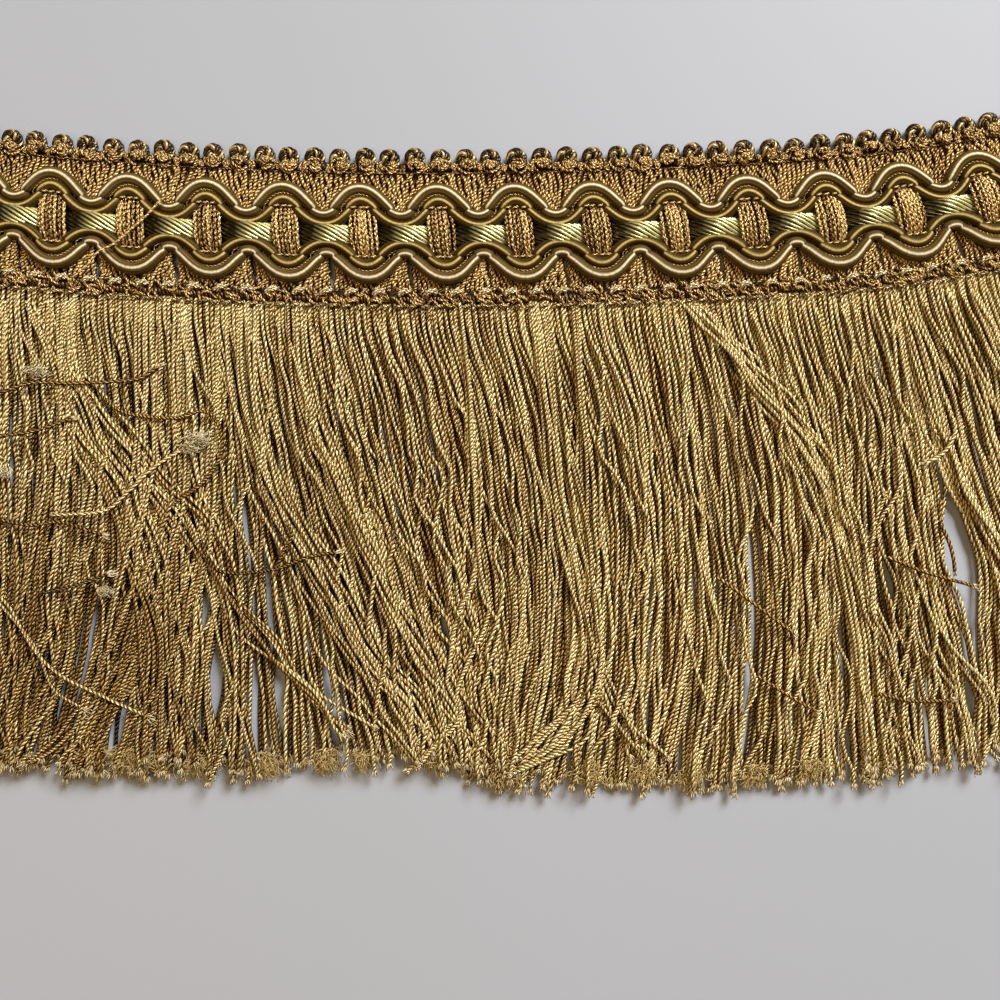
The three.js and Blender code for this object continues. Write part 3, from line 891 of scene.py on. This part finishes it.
class TRIM_OT_ground(bpy.types.Operator):
    """Weaves the flat ground of the heading, with its fans of yarn above and below the straps"""

    bl_idname = "trim.ground"
    bl_label = "Ground"

    def execute(self, context):
        sizes = context.scene.trim_sizes
        along = along_heading(12)[None, :]
        low = LOWER_STRAP["middle"] + LOWER_STRAP["swing"] * np.cos(wave_phase(along))
        across = low + (GROUND_EDGE - low) * np.linspace(0, 1, 13)[:, None]
        maps = np.stack(np.broadcast_arrays(along / MM, across / MM), axis=-1)
        band = sheet_grid(place(along, across, BAND_TOP), maps)
        piece = add_piece("ground_band", band, "woven_weft_rib_tan", "tan_yarn", "heading_ground")
        solid = piece.modifiers.new("thickness", "SOLIDIFY")
        solid.thickness = BAND_THICKNESS
        solid.offset = -1

        # Upper fans: even at the top stitch row and drawn together at each trough. Lower fans: drawn together
        # under each crest of the lower strap, with a narrow slit down the middle, in two layers.
        draw = np.random.default_rng(sizes.seed)
        way = np.linspace(0, 1, FAN_POINTS)
        together = FAN_GATHER * way**2 * (3 - 2 * way)
        apart = FAN_GATHER - together
        arch = FAN_ARCH * np.sin(np.pi * way)
        troughs = bar_places()[:, None] - sizes.wave / 2
        troughs = np.concatenate([troughs, troughs[-1:] + sizes.wave])
        crests = troughs + FAN_SHIFT
        upper_ends = (GROUND_HIGH, UPPER_FAN_END)
        lower_ends = (LOWER_FAN_START, LOWER_FAN_END)
        yarns = [
            fan_lines(draw, troughs, 0, together, upper_ends, 1.05 * MM + arch),
            fan_lines(draw, crests, 0.5, apart, lower_ends, 1.15 * MM + arch, slit=0.6 * MM),
            fan_lines(draw, crests, 0.5, apart, lower_ends, 0.75 * MM + arch, slit=0.46 * MM),
        ]
        yarns = np.concatenate(yarns)
        starts = draw.uniform(*ANY_START, len(yarns))
        tones = draw.uniform(-1, 1, len(yarns))
        part = tubes(yarns, sizes.ground_yarn / 2, start=starts, tone=tones, flat=0.9)
        add_piece("ground_yarns", part, "viscose_yarn_two_ply_tan", "tan_yarn")
        return {"FINISHED"}


def loop_lines(middles, reach, draw):
    """Lines of the edge's loops: up one leg, round half a turn and down the other leg.

    The outline is (-b cos turn, b sin turn) for the bend b, between legs that draw together by a quarter.
    """
    bend, leg, tuck, narrowed = 0.92 * MM, 1.5 * MM, 0.1 * MM, 0.25
    turn = np.linspace(0, np.pi, 14)
    legs = np.linspace(0, 1, 4)
    side = np.concatenate([np.full(4, -bend), -bend * np.cos(turn), np.full(4, bend)])
    rise = np.concatenate([-leg * (1 - legs) - tuck, bend * np.sin(turn), -tuck - leg * legs])
    side = side * np.where(rise < 0, 1 + narrowed * rise / leg, 1)
    across = LOOP_TOP - bend - reach + rise[None, :] + 0.1 * MM * draw.standard_normal((len(middles), 1))
    return place(middles[:, None] + side[None, :], across, 1.15 * MM + 0.25 * np.minimum(rise, 0))


def binding_lines(middles, pitch, draw):
    """Lines of the fine yarn wound round each loop's foot, and of a few turns between the loops.

    They are arcs about the foot, of growing radius r, over a dome that sinks by 0.3 r squared.
    """
    arcs, between, points, length = 10, 5, 7, 1.9 * MM
    foot = middles[:, None, None]
    reach = np.linspace(0.3, 1.65, arcs) * MM + 0.08 * MM * draw.standard_normal((len(middles), arcs))
    start = draw.uniform(*ANY_TURN, (len(middles), arcs))[..., None]
    turn = start + np.linspace(0, 1, points) * length / reach[..., None]
    reach = reach[..., None] * (1 + 0.06 * np.sin(3 * turn))
    dome = 2.3 * MM - 0.3 * reach**2 / MM + 0.12 * MM * draw.standard_normal((len(middles), arcs, 1))
    wound = place(foot + 1.1 * reach * np.cos(turn), BINDING_ROW + 0.8 * reach * np.sin(turn), dome)
    turn, reach = turn[:, :between], reach[:, :between]
    low = 1.35 * MM + 0.15 * MM * draw.standard_normal((len(middles), between, 1))
    beside = foot + pitch / 2 + 0.55 * reach * np.cos(turn)
    filled = place(beside, BINDING_BETWEEN + 0.8 * reach * np.sin(turn), low)
    return np.concatenate([wound.reshape(-1, points, 3), filled.reshape(-1, points, 3)])


class TRIM_OT_edge(bpy.types.Operator):
    """Turns the small round loops of the heading's free edge, three to a wave"""

    bl_idname = "trim.edge"
    bl_label = "Looped edge"

    def execute(self, context):
        sizes = context.scene.trim_sizes
        draw = np.random.default_rng(sizes.seed + 1)
        count = LOOPS_PER_WAVE * sizes.waves
        middles = spaced(count, 0.1 * MM, draw)
        around, thick = 0.57 * MM, 0.3 * MM
        loops = plied(
            loop_lines(middles, around + thick, draw),
            radius=around,
            plies=6,
            ply_radius=thick,
            twist=-4.4 * MM,
            phase=draw.uniform(*ANY_TURN, count),
            start=draw.uniform(*ANY_START, count),
            tone=draw.uniform(-3.2, -1.6, count),
        )
        # Every third ply is drawn pale, a painted highlight where it catches the light, so that gold shows
        # between the dark plies
        for ply in loops[::3]:
            ply["tone"] = ply["tone"] + 3.4
        lines = binding_lines(middles, sizes.wave / LOOPS_PER_WAVE, draw)
        starts = draw.uniform(*ANY_START, len(lines))
        bound = tubes(lines, 0.23 * MM, start=starts, tone=draw.uniform(-1.2, 1.4, len(lines)))
        add_piece("edge_binding", bound, "viscose_yarn_two_ply_tan", "tan_yarn")
        add_piece("edge_loops", joined(loops), "viscose_ply_smooth_brown", "tan_yarn", "picot_edge")
        return {"FINISHED"}


def strap_lines(strap, side):
    """The line of one cord of a strap, and its radius: the wave middle + swing cos(phase), set off sideways
    along its own normal by half the cords' distance, which is wider at the outer bends.

    The wave has 3% of cos(3 phase) taken off, which rounds its bends. A cord's radius is 0.52 of the
    distance, so that the two touch. The stitch row pins the strap, so beyond it the cord steps back by a
    hyperbolic tangent's step. The samples stand closest there, at equal shares of the sum of 1 + 7 held.
    """
    sizes = bpy.context.scene.trim_sizes
    step_back, step_width, samples = 0.5 * MM, 0.09 * MM, 36
    along = along_heading(240)
    phase = wave_phase(along)
    across = strap["middle"] + strap["swing"] * (np.cos(phase) - 0.03 * np.cos(3 * phase)) / 0.97
    rise = np.gradient(across, along)
    norm = np.sqrt(1 + rise**2)
    apart = sizes.gimp_cord * (1 + 0.1 * np.cos(phase))
    offset = side * apart / 2
    from_stitch = (across + offset / norm - strap["stitch"]) / step_width
    held = np.exp(-((from_stitch / 2.5) ** 2))
    offset = offset - step_back * strap["outer"] * (0.5 - 0.5 * np.tanh(strap["outer"] * from_stitch))
    weight = np.cumsum(1 + 7 * held)
    shares = np.linspace(weight[0], weight[-1], sizes.waves * samples + 1)
    along, rise, norm, across, offset, apart, held = (
        np.interp(shares, weight, values) for values in (along, rise, norm, across, offset, apart, held)
    )
    height = STRAP_HEIGHT - 0.25 * MM * held
    line = place(along - offset * rise / norm, across + offset / norm, height)
    return line, apart * 0.52 * (1 - 0.15 * held)


class TRIM_OT_straps(bpy.types.Operator):
    """Lays the two gimp straps in waves, each of two satin cords side by side with a fine thread between"""

    bl_idname = "trim.straps"
    bl_label = "Gimp straps"

    def execute(self, context):
        skew = context.scene.trim_sizes.skew
        for name, strap in (("upper_gimp", UPPER_STRAP), ("lower_gimp", LOWER_STRAP)):
            # The lower strap's cords run the other way, which puts the line of light nearer each outer side
            way = slice(None, None, strap["outer"])
            for kind, side in (("outer", strap["outer"]), ("inner", -strap["outer"])):
                line, radius = strap_lines(strap, side)
                cord = tubes(line[None, way], radius[None, way], sides=14)
                add_piece(f"{name}_{kind}", cord, f"rayon_satin_gimp_{kind}", "olive_satin", name)
            line, _ = strap_lines(strap, 0)
            phase = wave_phase(line[:, 0] + skew * strap["middle"])
            line[:, 2] += (0.05 + 0.38 * np.cos(phase)) * MM
            thread = tubes(line[None], 0.14 * MM, sides=6, tone=-0.8)
            add_piece(f"{name}_thread", thread, "viscose_yarn_two_ply_tan", "tan_yarn")
        return {"FINISHED"}


class TRIM_OT_centre(bpy.types.Operator):
    """Twists the soft satin strands of the centre cord"""

    bl_idname = "trim.centre"
    bl_label = "Centre twist"

    def execute(self, context):
        sizes = context.scene.trim_sizes
        strands, twist = 12, -15.5 * MM
        along = along_heading(12)
        phase = wave_phase(along)
        # The bars press the cord down, and its tone paints light on the slopes that face the key and shade on
        # the others
        from_bar = np.abs(np.angle(np.exp(1j * phase))) / np.pi
        pressed = np.clip(1.15 * (1 - from_bar), 0, 1) ** 1.4
        middle = place(along, CENTRE_ACROSS, 2.7 * MM - 1.7 * MM * pressed)[None]
        lit = np.clip(0.45 - 0.8 * np.sin(phase + 0.25), 0, 1)[None]
        around = ((1.5 - 0.2 * pressed) * MM)[None]
        parts = plied(middle, around, strands, sizes.centre_strand / 2, twist, flat=0.5, tone=lit)
        # The core's low tone paints it in shade between the strands
        core = tubes(middle, ((1.36 - 0.2 * pressed) * MM)[None], sides=10, tone=-1.0, flat=0.5)
        add_piece(
            "centre_strands", joined([*parts, core]), "rayon_satin_strand_lime", "lime_satin", "centre_twist"
        )
        return {"FINISHED"}


class TRIM_OT_bars(bpy.types.Operator):
    """Wraps the ribbed bars over the centre twist, seven yarns to a bar"""

    bl_idname = "trim.bars"
    bl_label = "Bars"

    def execute(self, context):
        sizes = context.scene.trim_sizes
        draw = np.random.default_rng(sizes.seed + 2)
        ribs = ((np.arange(BAR_YARNS) + 0.5) / BAR_YARNS - 0.5)[:, None]
        down = np.linspace(0, 1, 25)
        across = BAR_TOP + down * (BAR_FOOT - BAR_TOP)
        # A bar is 4.5 mm wide at its middle and 3.5 at its ends, and domed both ways
        spread = (4.5 - 1.0 * np.abs(2 * down - 1) ** 2.5) * MM
        crown = (0.3 - 2.6 * ribs**2) * MM
        height = 1.0 * MM + (2.15 * MM + crown) * np.sin(np.pi * down) ** 0.5
        for number, middle in enumerate(bar_places(), start=1):
            along = middle + ribs * spread + 0.07 * MM * draw.standard_normal((BAR_YARNS, 1))
            along = along + 0.06 * MM * draw.standard_normal((BAR_YARNS, len(down)))
            parts = plied(
                place(along, across, height),
                radius=0.15 * MM,
                plies=2,
                ply_radius=sizes.bar_yarn / 2,
                twist=1.5 * MM,
                phase=draw.uniform(*ANY_TURN, BAR_YARNS),
                start=draw.uniform(*ANY_START, BAR_YARNS),
                tone=draw.uniform(-1.5, 2, BAR_YARNS),
            )
            name = f"bar_{number:02d}"
            add_piece(f"{name}_yarns", joined(parts), "viscose_ply_soft_tan", "tan_yarn", name)
        return {"FINISHED"}


def row_parts(draw):
    """The dashes of the stitch rows that show at both ends of each bar, and the row along the loops' foot."""
    dashes = np.array([-1.15, 0.0, 1.15]) * MM
    s = np.linspace(-1, 1, 6)
    bend = 0.25 * MM * np.cos(np.pi / 2 * s)
    rows = []
    for strap in (UPPER_STRAP, LOWER_STRAP):
        middles = (bar_places()[:, None] + dashes).reshape(-1, 1)
        middles = middles + 0.15 * MM * draw.standard_normal(middles.shape)
        rows.append(place(middles + 0.42 * MM * s, strap["stitch"] + 0.1 * MM * s, STITCH_HEIGHT + bend))
    along = along_heading(16)
    row = place(along, GROUND_HIGH + 0.1 * MM, 1.3 * MM + 0.15 * MM * np.sin(along / (0.5 * MM)))
    return [tubes(np.concatenate(rows), 0.19 * MM, tone=0.8), tubes(row[None], 0.18 * MM, tone=-2.0)]


def scallop_parts(draw):
    """Small bright twisted scallops along the header, three to a wave, bowed by 1 - s squared."""
    count = LOOPS_PER_WAVE * bpy.context.scene.trim_sizes.waves
    middles = spaced(count, 0.12 * MM, draw)[:, None]
    s = np.linspace(-1, 1, 12)
    across = SCALLOP_ROW + 0.3 * MM * s + 0.3 * MM * (1 - s**2)
    lines = place(middles + 0.85 * MM * s, across, 2.0 * MM + 0.5 * MM * np.cos(np.pi / 2 * s))
    return plied(
        lines,
        radius=0.24 * MM,
        plies=2,
        ply_radius=0.27 * MM,
        twist=1.7 * MM,
        phase=draw.uniform(*ANY_TURN, count),
        start=draw.uniform(*ANY_START, count),
        tone=draw.uniform(0.3, 2, count),
    )


def knot_part(draw):
    """Knotted band: short ends of yarn, bowed by 1 - s squared, that lean back close together."""
    half = half_length()
    count = KNOTS_PER_WAVE * bpy.context.scene.trim_sizes.waves
    middles = draw.uniform(-half, half, count)[:, None]
    levels = draw.uniform(*KNOT_ROWS, count)[:, None]
    lean = draw.normal(-0.75, 0.6, (count, 1))
    s = np.linspace(-1, 1, 6)
    reach = draw.uniform(0.5, 0.95, (count, 1)) * MM * s
    bow = draw.uniform(-0.5, 0.5, (count, 1)) * MM * (1 - s**2)
    lines = place(
        middles + reach * np.cos(lean) - bow * np.sin(lean),
        levels + reach * np.sin(lean) + bow * np.cos(lean),
        draw.uniform(1.35, 1.95, (count, 1)) * MM + 0.35 * MM * (1 - s**2),
    )
    starts = draw.uniform(*ANY_START, count)
    return tubes(lines, 0.21 * MM, start=starts, tone=draw.uniform(-1.2, 1.8, count))


def dot_part(draw):
    """The dotted row of short stitches where the skirt begins."""
    count = DOTS_PER_WAVE * bpy.context.scene.trim_sizes.waves
    middles = spaced(count, 0.08 * MM, draw)[:, None]
    s = np.linspace(-1, 1, 8)
    height = 1.75 * MM + 0.3 * MM * np.cos(np.pi / 2 * s)
    lines = place(middles + 0.55 * MM * s, DOT_ROW + 0.1 * MM * s, height)
    tones = draw.uniform(-2.5, -0.5, count)
    return tubes(lines, 0.24 * MM, sides=6, tone=tones, start=draw.uniform(*ANY_START, count))


class TRIM_OT_stitches(bpy.types.Operator):
    """Sews the stitch rows of the heading and the knotted header over the skirt"""

    bl_idname = "trim.stitches"
    bl_label = "Stitches and header"

    def execute(self, context):
        draw = np.random.default_rng(context.scene.trim_sizes.seed + 3)
        add_piece("stitch_rows", joined(row_parts(draw)), "viscose_yarn_two_ply_tan", "tan_yarn")
        scallops = scallop_parts(draw)
        # The knots are worked on a thick core, whose low tone paints shade between the knots
        core = place(along_heading(16), HEADER_CORE, 1.0 * MM)[None]
        knots = [knot_part(draw), tubes(core, 0.8 * MM, sides=8, tone=-3.0)]
        add_piece("header_knots", joined(knots), "viscose_yarn_two_ply_tan", "tan_yarn")
        bright = joined([*scallops, dot_part(draw)])
        add_piece("header_scallops", bright, "cotton_stitch_thread_cream", "gold_cord")
        return {"FINISHED"}


def by_root(roots, column):
    """A column of the skirt's lie for cords with given roots, between its rows by straight lines."""
    return np.interp(roots, SKIRT["root"], SKIRT[column])


def near_root(fade):
    """How near each ring of a cord is to its root, which falls by exp(-square of the way down over fade)."""
    return np.exp(-((np.linspace(0, 1, RINGS) / fade) ** 2))


def skirt_lines(roots, draw, lean, base, shorter, loose):
    """Lines of a layer's cords, from the header through the lie table's places.

    A cord's own drift and its lock's drift grow with the way down to the power of 1.5, locks draw together
    towards their middles, slow sines make each cord wander, and the partings are pushed open.
    """
    count = len(roots)
    start = place(roots, HEADER_LOW + CORD_TUCK, base)
    reach = by_root(roots, "reach") + shorter + CORD_FRAY_ROOM
    lock = np.floor(roots / LOCK_WIDTH + 0.3 * np.sin(roots / (9 * MM))).astype(int)
    lock = lock - lock.min()
    locks = lock.max() + 1
    lock_draw = draw.normal(0, 1, (locks, 2))
    sums = np.bincount(lock, weights=roots, minlength=locks)
    lock_middle = sums / np.maximum(np.bincount(lock, minlength=locks), 1)
    points = [start]
    for level, column in enumerate(("upper", "middle", "tip"), start=1):
        down = level / 3
        x = start[:, 0] + (by_root(roots, column) - start[:, 0]) * lean
        drift = 0.7 * lock_draw[lock, 0] + 0.75 * draw.normal(0, 1, count)
        x = x + 0.22 * down * (lock_middle[lock] - roots) + loose * down**1.5 * drift * MM
        y = start[:, 1] + (reach - start[:, 1]) * down
        points.append(np.stack([x, y, np.full(count, base)], axis=1))
    points = np.stack(points, axis=1)
    points[:, -1, 1] += (0.6 * draw.normal(0, 1, count) + 0.5 * lock_draw[lock, 1]) * MM
    lines = smooth_lines(points, RINGS)
    lines[:, :, 0] += (lines[:, :1, 0] - lines[:, :, 0]) * near_root(0.1)
    lines = parted(wandered(lines, draw, loose))
    lines[:, :, 2] += (HEADER_HEIGHT - base) * near_root(0.035)
    return lines


def wandered(lines, draw, loose):
    """The lines with slow sideways sines and gentle rises added, each with its own phase."""
    down = np.linspace(0, 1, lines.shape[1])
    count = len(lines)
    for cycles, size in WANDERS:
        angle = 2 * np.pi * (cycles * down + draw.uniform(0, 1, (count, 1)))
        lines[:, :, 0] += loose * size * MM * np.sin(angle) * np.minimum(1, 4 * down)
    angle = 2 * np.pi * (draw.uniform(0, 1, (count, 1)) + draw.uniform(1, 3, (count, 1)) * down)
    lines[:, :, 2] += loose * 0.3 * MM * np.sin(angle) * np.minimum(1, 5 * down)
    return lines


def parted(lines):
    """The lines pushed off each parting, by its half width times exp(-distance) and exp(-height squared)."""
    for right, down, half_width, half_height in PARTINGS:
        x, y, _ = seen_at((right, down), PARTING_HEIGHT)
        offset = np.array([np.interp(-y, -line[:, 1], line[:, 0]) for line in lines]) - x
        fade = PARTING_SPREAD * half_width * MM
        push = np.sign(offset) * half_width * np.exp(-np.abs(offset) / fade) * MM
        lines[:, :, 0] += push[:, None] * np.exp(-(((lines[:, :, 1] - y) / (half_height * MM)) ** 2))
    return lines


def frayed(lines, draw, flare, length):
    """Filaments from each line's last point that curl out and in again, by flare times a sine of the way."""
    grid = (len(lines), FRAYED_STRANDS)
    inside, ring, lowest = 0.4 * MM, 0.12 * MM, 0.15 * MM
    end = lines[:, -1]
    ahead = unit(end - lines[:, -3])[:, None]
    beside, above = side_and_up(ahead)
    turn = 2 * np.pi * np.arange(FRAYED_STRANDS) / FRAYED_STRANDS + draw.uniform(*ANY_TURN, (len(lines), 1))
    out = np.cos(turn)[..., None] * beside + 0.6 * np.sin(turn)[..., None] * above
    s = np.linspace(0, 1, FILAMENT_POINTS)[:, None]
    reach = np.broadcast_to(length, len(lines))[:, None] * draw.uniform(0.5, 1.1, grid)
    spread = np.broadcast_to(flare, len(lines))[:, None] * draw.uniform(0.3, 1.0, grid)
    ahead, out = ahead[:, :, None], out[:, :, None]
    curl = ring + spread[..., None, None] * np.sin(0.6 * np.pi * s)
    made = end[:, None, None] - inside * ahead + reach[..., None, None] * s * ahead + curl * out
    made[..., 2] = np.maximum(made[..., 2], lowest)
    made = made.reshape(-1, FILAMENT_POINTS, 3)
    starts = draw.uniform(*ANY_START, len(made))
    return tubes(made, STRAND_RADII, sides=3, start=starts, tone=draw.uniform(-1, 1, len(made)))


def add_cords(name, lines, draw, thickness, tones, flare, length, *replaced):
    """Adds twisted cords along the lines, and their frayed ends as a piece of their own.

    The tone sinks at the skirt's lower left as painted shade, rises to the right as painted light, and rises
    near the header.
    """
    count = len(lines)
    radius = thickness / 2 * draw.uniform(0.88, 1.12, (count, 1)) * np.ones(lines.shape[:2])
    lines[:, :, 2] = np.maximum(lines[:, :, 2], radius)
    turns = draw.uniform(0.75, 1.35, count)
    x, y = lines[:, :, 0], lines[:, :, 1]
    # Painted shade at the lower left, painted light to the right, and a lighter tone near the header
    painted_shade = 1 - np.clip((x - PAINTED_SHADE_RIGHT) / PAINTED_SHADE_BLEND_ACROSS, 0, 1)
    painted_shade = painted_shade * np.clip((PAINTED_SHADE_TOP - y) / PAINTED_SHADE_BLEND_DOWN, 0, 1)
    near_header = np.clip(1 - np.linspace(0, 1, lines.shape[1]) / 0.4, 0, 1)
    tones = np.reshape(tones, (-1, 1)) + CORD_TONES["all"] + CORD_TONES["painted_shade"] * painted_shade
    tones = tones + CORD_TONES["near_header"] * near_header + CORD_TONES["right"] * x / TONE_REACH
    part = tubes(lines, radius, start=draw.uniform(0, 50, count), tone=tones, turns=turns)
    add_piece(name, part, "viscose_cord_twisted_gold", "gold_cord", *replaced)
    ends = frayed(lines, draw, flare, length)
    add_piece(f"{name}_ends", ends, "viscose_ends_frayed_pale", "gold_cord")


class TRIM_OT_skirt(bpy.types.Operator):
    """Hangs the skirt's twisted cords in three layers, with frayed ends"""

    bl_idname = "trim.skirt"
    bl_label = "Skirt"

    def execute(self, context):
        sizes = context.scene.trim_sizes
        half = half_length()
        for number, (name, share, lean, base, shorter, loose) in enumerate(SKIRT_LAYERS):
            draw = np.random.default_rng(sizes.seed + 11 + number)
            count = int(share * sizes.cords_per_layer)
            roots = -half + 2 * half * (np.arange(count) + draw.uniform(0.25, 0.75, count)) / count
            lines = skirt_lines(roots, draw, lean, base, shorter, loose)
            # Each layer is darker than the one over it, as less light gets there
            tones = draw.uniform(-1.4, 1.5, count) - 0.7 * (2 - number)
            add_cords(name, lines, draw, sizes.cord, tones, CORD_FLARE, CORD_FRAY, "fringe")
        return {"FINISHED"}


def tuft_lines(draw, spots, height, per_width, scatter=0.8, length=1.0):
    """Loose filaments strewn about places of the frame, each a line with a bow, turned about its tuft's aim.

    A spot is its pixels right and down, its width and height in millimetres and its aim. It has its width in
    millimetres times per_width filaments.
    """
    s = np.linspace(0, 1, FILAMENT_POINTS)
    lowest = 0.1 * MM
    made = []
    for right, down, wide, tall, aim in spots:
        count = int(per_width * wide)
        strewn = [
            0.3 * wide * draw.normal(0, 1, count),
            tall * draw.uniform(-0.05, 0.6, count),
            draw.uniform(-0.7, 1.6, count),
        ]
        root = seen_at((right, down), height) + MM * np.stack(strewn, axis=1)
        turn = draw.normal(0, scatter, count) + aim
        way = np.stack([np.cos(turn), np.sin(turn), draw.normal(0, 0.15, count)], axis=1)
        side = np.stack([-way[:, 1], way[:, 0], way[:, 2]], axis=1)[:, None]
        bow = 0.35 * MM * draw.normal(0, 1, (count, 1, 1)) * np.sin(np.pi * s)[:, None]
        reach = MM * draw.uniform(0.25, 0.55, (count, 1, 1)) * length * tall * s[:, None]
        made.append(root[:, None] + reach * way[:, None] + bow * side)
    lines = np.concatenate(made)
    lines[:, :, 2] = np.maximum(lines[:, :, 2], lowest)
    return lines


class TRIM_OT_tufts(bpy.types.Operator):
    """Frays soft tufts of loose filaments between the tips of the cords"""

    bl_idname = "trim.tufts"
    bl_label = "Tufts"

    def execute(self, context):
        draw = np.random.default_rng(context.scene.trim_sizes.seed + 41)
        downward = -np.pi / 2
        lines = tuft_lines(draw, [(*spot, downward) for spot in TUFTS], TUFT_HEIGHT, per_width=40)
        part = tubes(lines, 0.065 * MM, sides=3, tone=draw.uniform(-0.5, 1.5, len(lines)))
        add_piece("tuft_filaments", part, "viscose_filaments_loose_gold", "gold_cord")
        return {"FINISHED"}


class TRIM_OT_bundles(bpy.types.Operator):
    """Lays the loose bundles over the skirt, and single cords anywhere along it"""

    bl_idname = "trim.bundles"
    bl_label = "Loose bundles"

    def execute(self, context):
        sizes = context.scene.trim_sizes
        half = half_length()
        draw = np.random.default_rng(sizes.seed + 21)
        lines = []
        for path, width, count in BUNDLES:
            # A bundle widens on its way down, and its strands drift apart and rise and sink at random
            down = np.linspace(0, 1, len(path))
            offset = draw.uniform(-0.5, 0.5, count)[:, None]
            spread = width * MM * (0.75 + 0.3 * down) * offset
            strands = np.repeat(seen_at(path, BUNDLE_HEIGHT)[None], count, axis=0)
            strands[:, :, 0] += spread + 1.7 * MM * draw.normal(0, 1, (count, len(path))) * down
            strands[:, :, 2] += draw.uniform(-0.7, 0.6, (count, 1)) * MM
            strands[:, 1:, 2] += 0.35 * MM * draw.normal(0, 1, (count, len(path) - 1))
            strands[:, -1, 1] += (1.2 + 0.7 * draw.normal(0, 1, count)) * MM
            lines.append(smooth_lines(strands, RINGS))
        roots = draw.uniform(-half, half, SINGLE_CORDS)
        single = skirt_lines(roots, draw, lean=1.0, base=BUNDLE_HEIGHT, shorter=1.6 * MM, loose=2.6)
        lines.append(single)
        lines = parted(wandered(np.concatenate(lines), draw, 0.9))
        lines[:, :, 2] -= 1.4 * MM * near_root(0.045)
        tones = draw.uniform(-0.8, 1.2, len(lines))
        add_cords("skirt_loose", lines, draw, sizes.cord, tones, CORD_FLARE, CORD_FRAY)
        return {"FINISHED"}


class TRIM_OT_strays(bpy.types.Operator):
    """Lays the single cords that have strayed across the skirt, and the loose yarn on the heading"""

    bl_idname = "trim.strays"
    bl_label = "Stray cords"

    def execute(self, context):
        sizes = context.scene.trim_sizes
        draw = np.random.default_rng(sizes.seed + 31)
        paths, amounts = zip(*STRAYS)
        lines = [smooth_lines(seen_at(path, STRAY_HEIGHT)[None], STRAY_POINTS) for path in paths]
        lines = np.concatenate(lines)
        way = np.linspace(0, 1, STRAY_POINTS)
        lines[:, :, 2] -= 0.5 * MM * (1 - np.minimum(1, 8 * np.minimum(way, 1 - way)))
        # Strays that are much frayed are pale, and the others are darker than the skirt
        fray = np.array(amounts)
        tones = np.where(fray >= 1, 1.2, -2.2) + draw.uniform(-0.4, 0.4, len(lines))
        add_cords("stray_cords", lines, draw, 0.95 * sizes.cord, tones, 0.7 * fray * MM, (1 + fray) * MM)
        tufts = tuft_lines(draw, STRAY_TUFTS, STRAY_TUFT_HEIGHT, per_width=20, scatter=0.35, length=1.9)
        part = tubes(tufts, 0.07 * MM, sides=3, tone=draw.uniform(0.5, 2.5, len(tufts)))
        add_piece("stray_tufts", part, "viscose_ends_frayed_pale", "gold_cord")
        line = smooth_lines(seen_at(HEADING_YARN, HEADING_YARN_HEIGHT)[None], 60)
        yarn = plied(line, radius=0.11 * MM, plies=2, ply_radius=0.14 * MM, twist=1.1 * MM, tone=2.0)
        add_piece("stray_yarn", joined(yarn), "viscose_ply_soft_tan", "tan_yarn")
        return {"FINISHED"}


class TRIM_PT_panel(bpy.types.Panel):
    """Lists the trim's sizes, colours and pieces"""

    bl_idname = "TRIM_PT_panel"
    bl_label = "Cord fringe trim"
    bl_space_type = "VIEW_3D"
    bl_region_type = "UI"
    bl_category = "Trim"

    def draw(self, context):
        for group in (context.scene.trim_sizes, context.scene.trim_colours):
            box = self.layout.box()
            for name in group.__annotations__:
                box.prop(group, name)
        for operator in OPERATORS:
            self.layout.operator(operator.bl_idname)


OPERATORS = (
    TRIM_OT_stage,
    TRIM_OT_ground,
    TRIM_OT_edge,
    TRIM_OT_straps,
    TRIM_OT_centre,
    TRIM_OT_bars,
    TRIM_OT_stitches,
    TRIM_OT_skirt,
    TRIM_OT_tufts,
    TRIM_OT_bundles,
    TRIM_OT_strays,
)
CLASSES = (TrimSizes, TrimColours, *OPERATORS, TRIM_PT_panel)


def register():
    for kind in CLASSES:
        bpy.utils.register_class(kind)
    bpy.types.Scene.trim_sizes = bpy.props.PointerProperty(type=TrimSizes)
    bpy.types.Scene.trim_colours = bpy.props.PointerProperty(type=TrimColours)


def unregister():
    del bpy.types.Scene.trim_colours
    del bpy.types.Scene.trim_sizes
    for kind in reversed(CLASSES):
        bpy.utils.unregister_class(kind)


def main():
    register()
    bpy.ops.trim.stage()
    bpy.ops.trim.ground()
    bpy.ops.trim.edge()
    bpy.ops.trim.straps()
    bpy.ops.trim.centre()
    bpy.ops.trim.bars()
    bpy.ops.trim.stitches()
    bpy.ops.trim.skirt()
    bpy.ops.trim.tufts()
    bpy.ops.trim.bundles()
    bpy.ops.trim.strays()


if __name__ == "__main__":
    main()
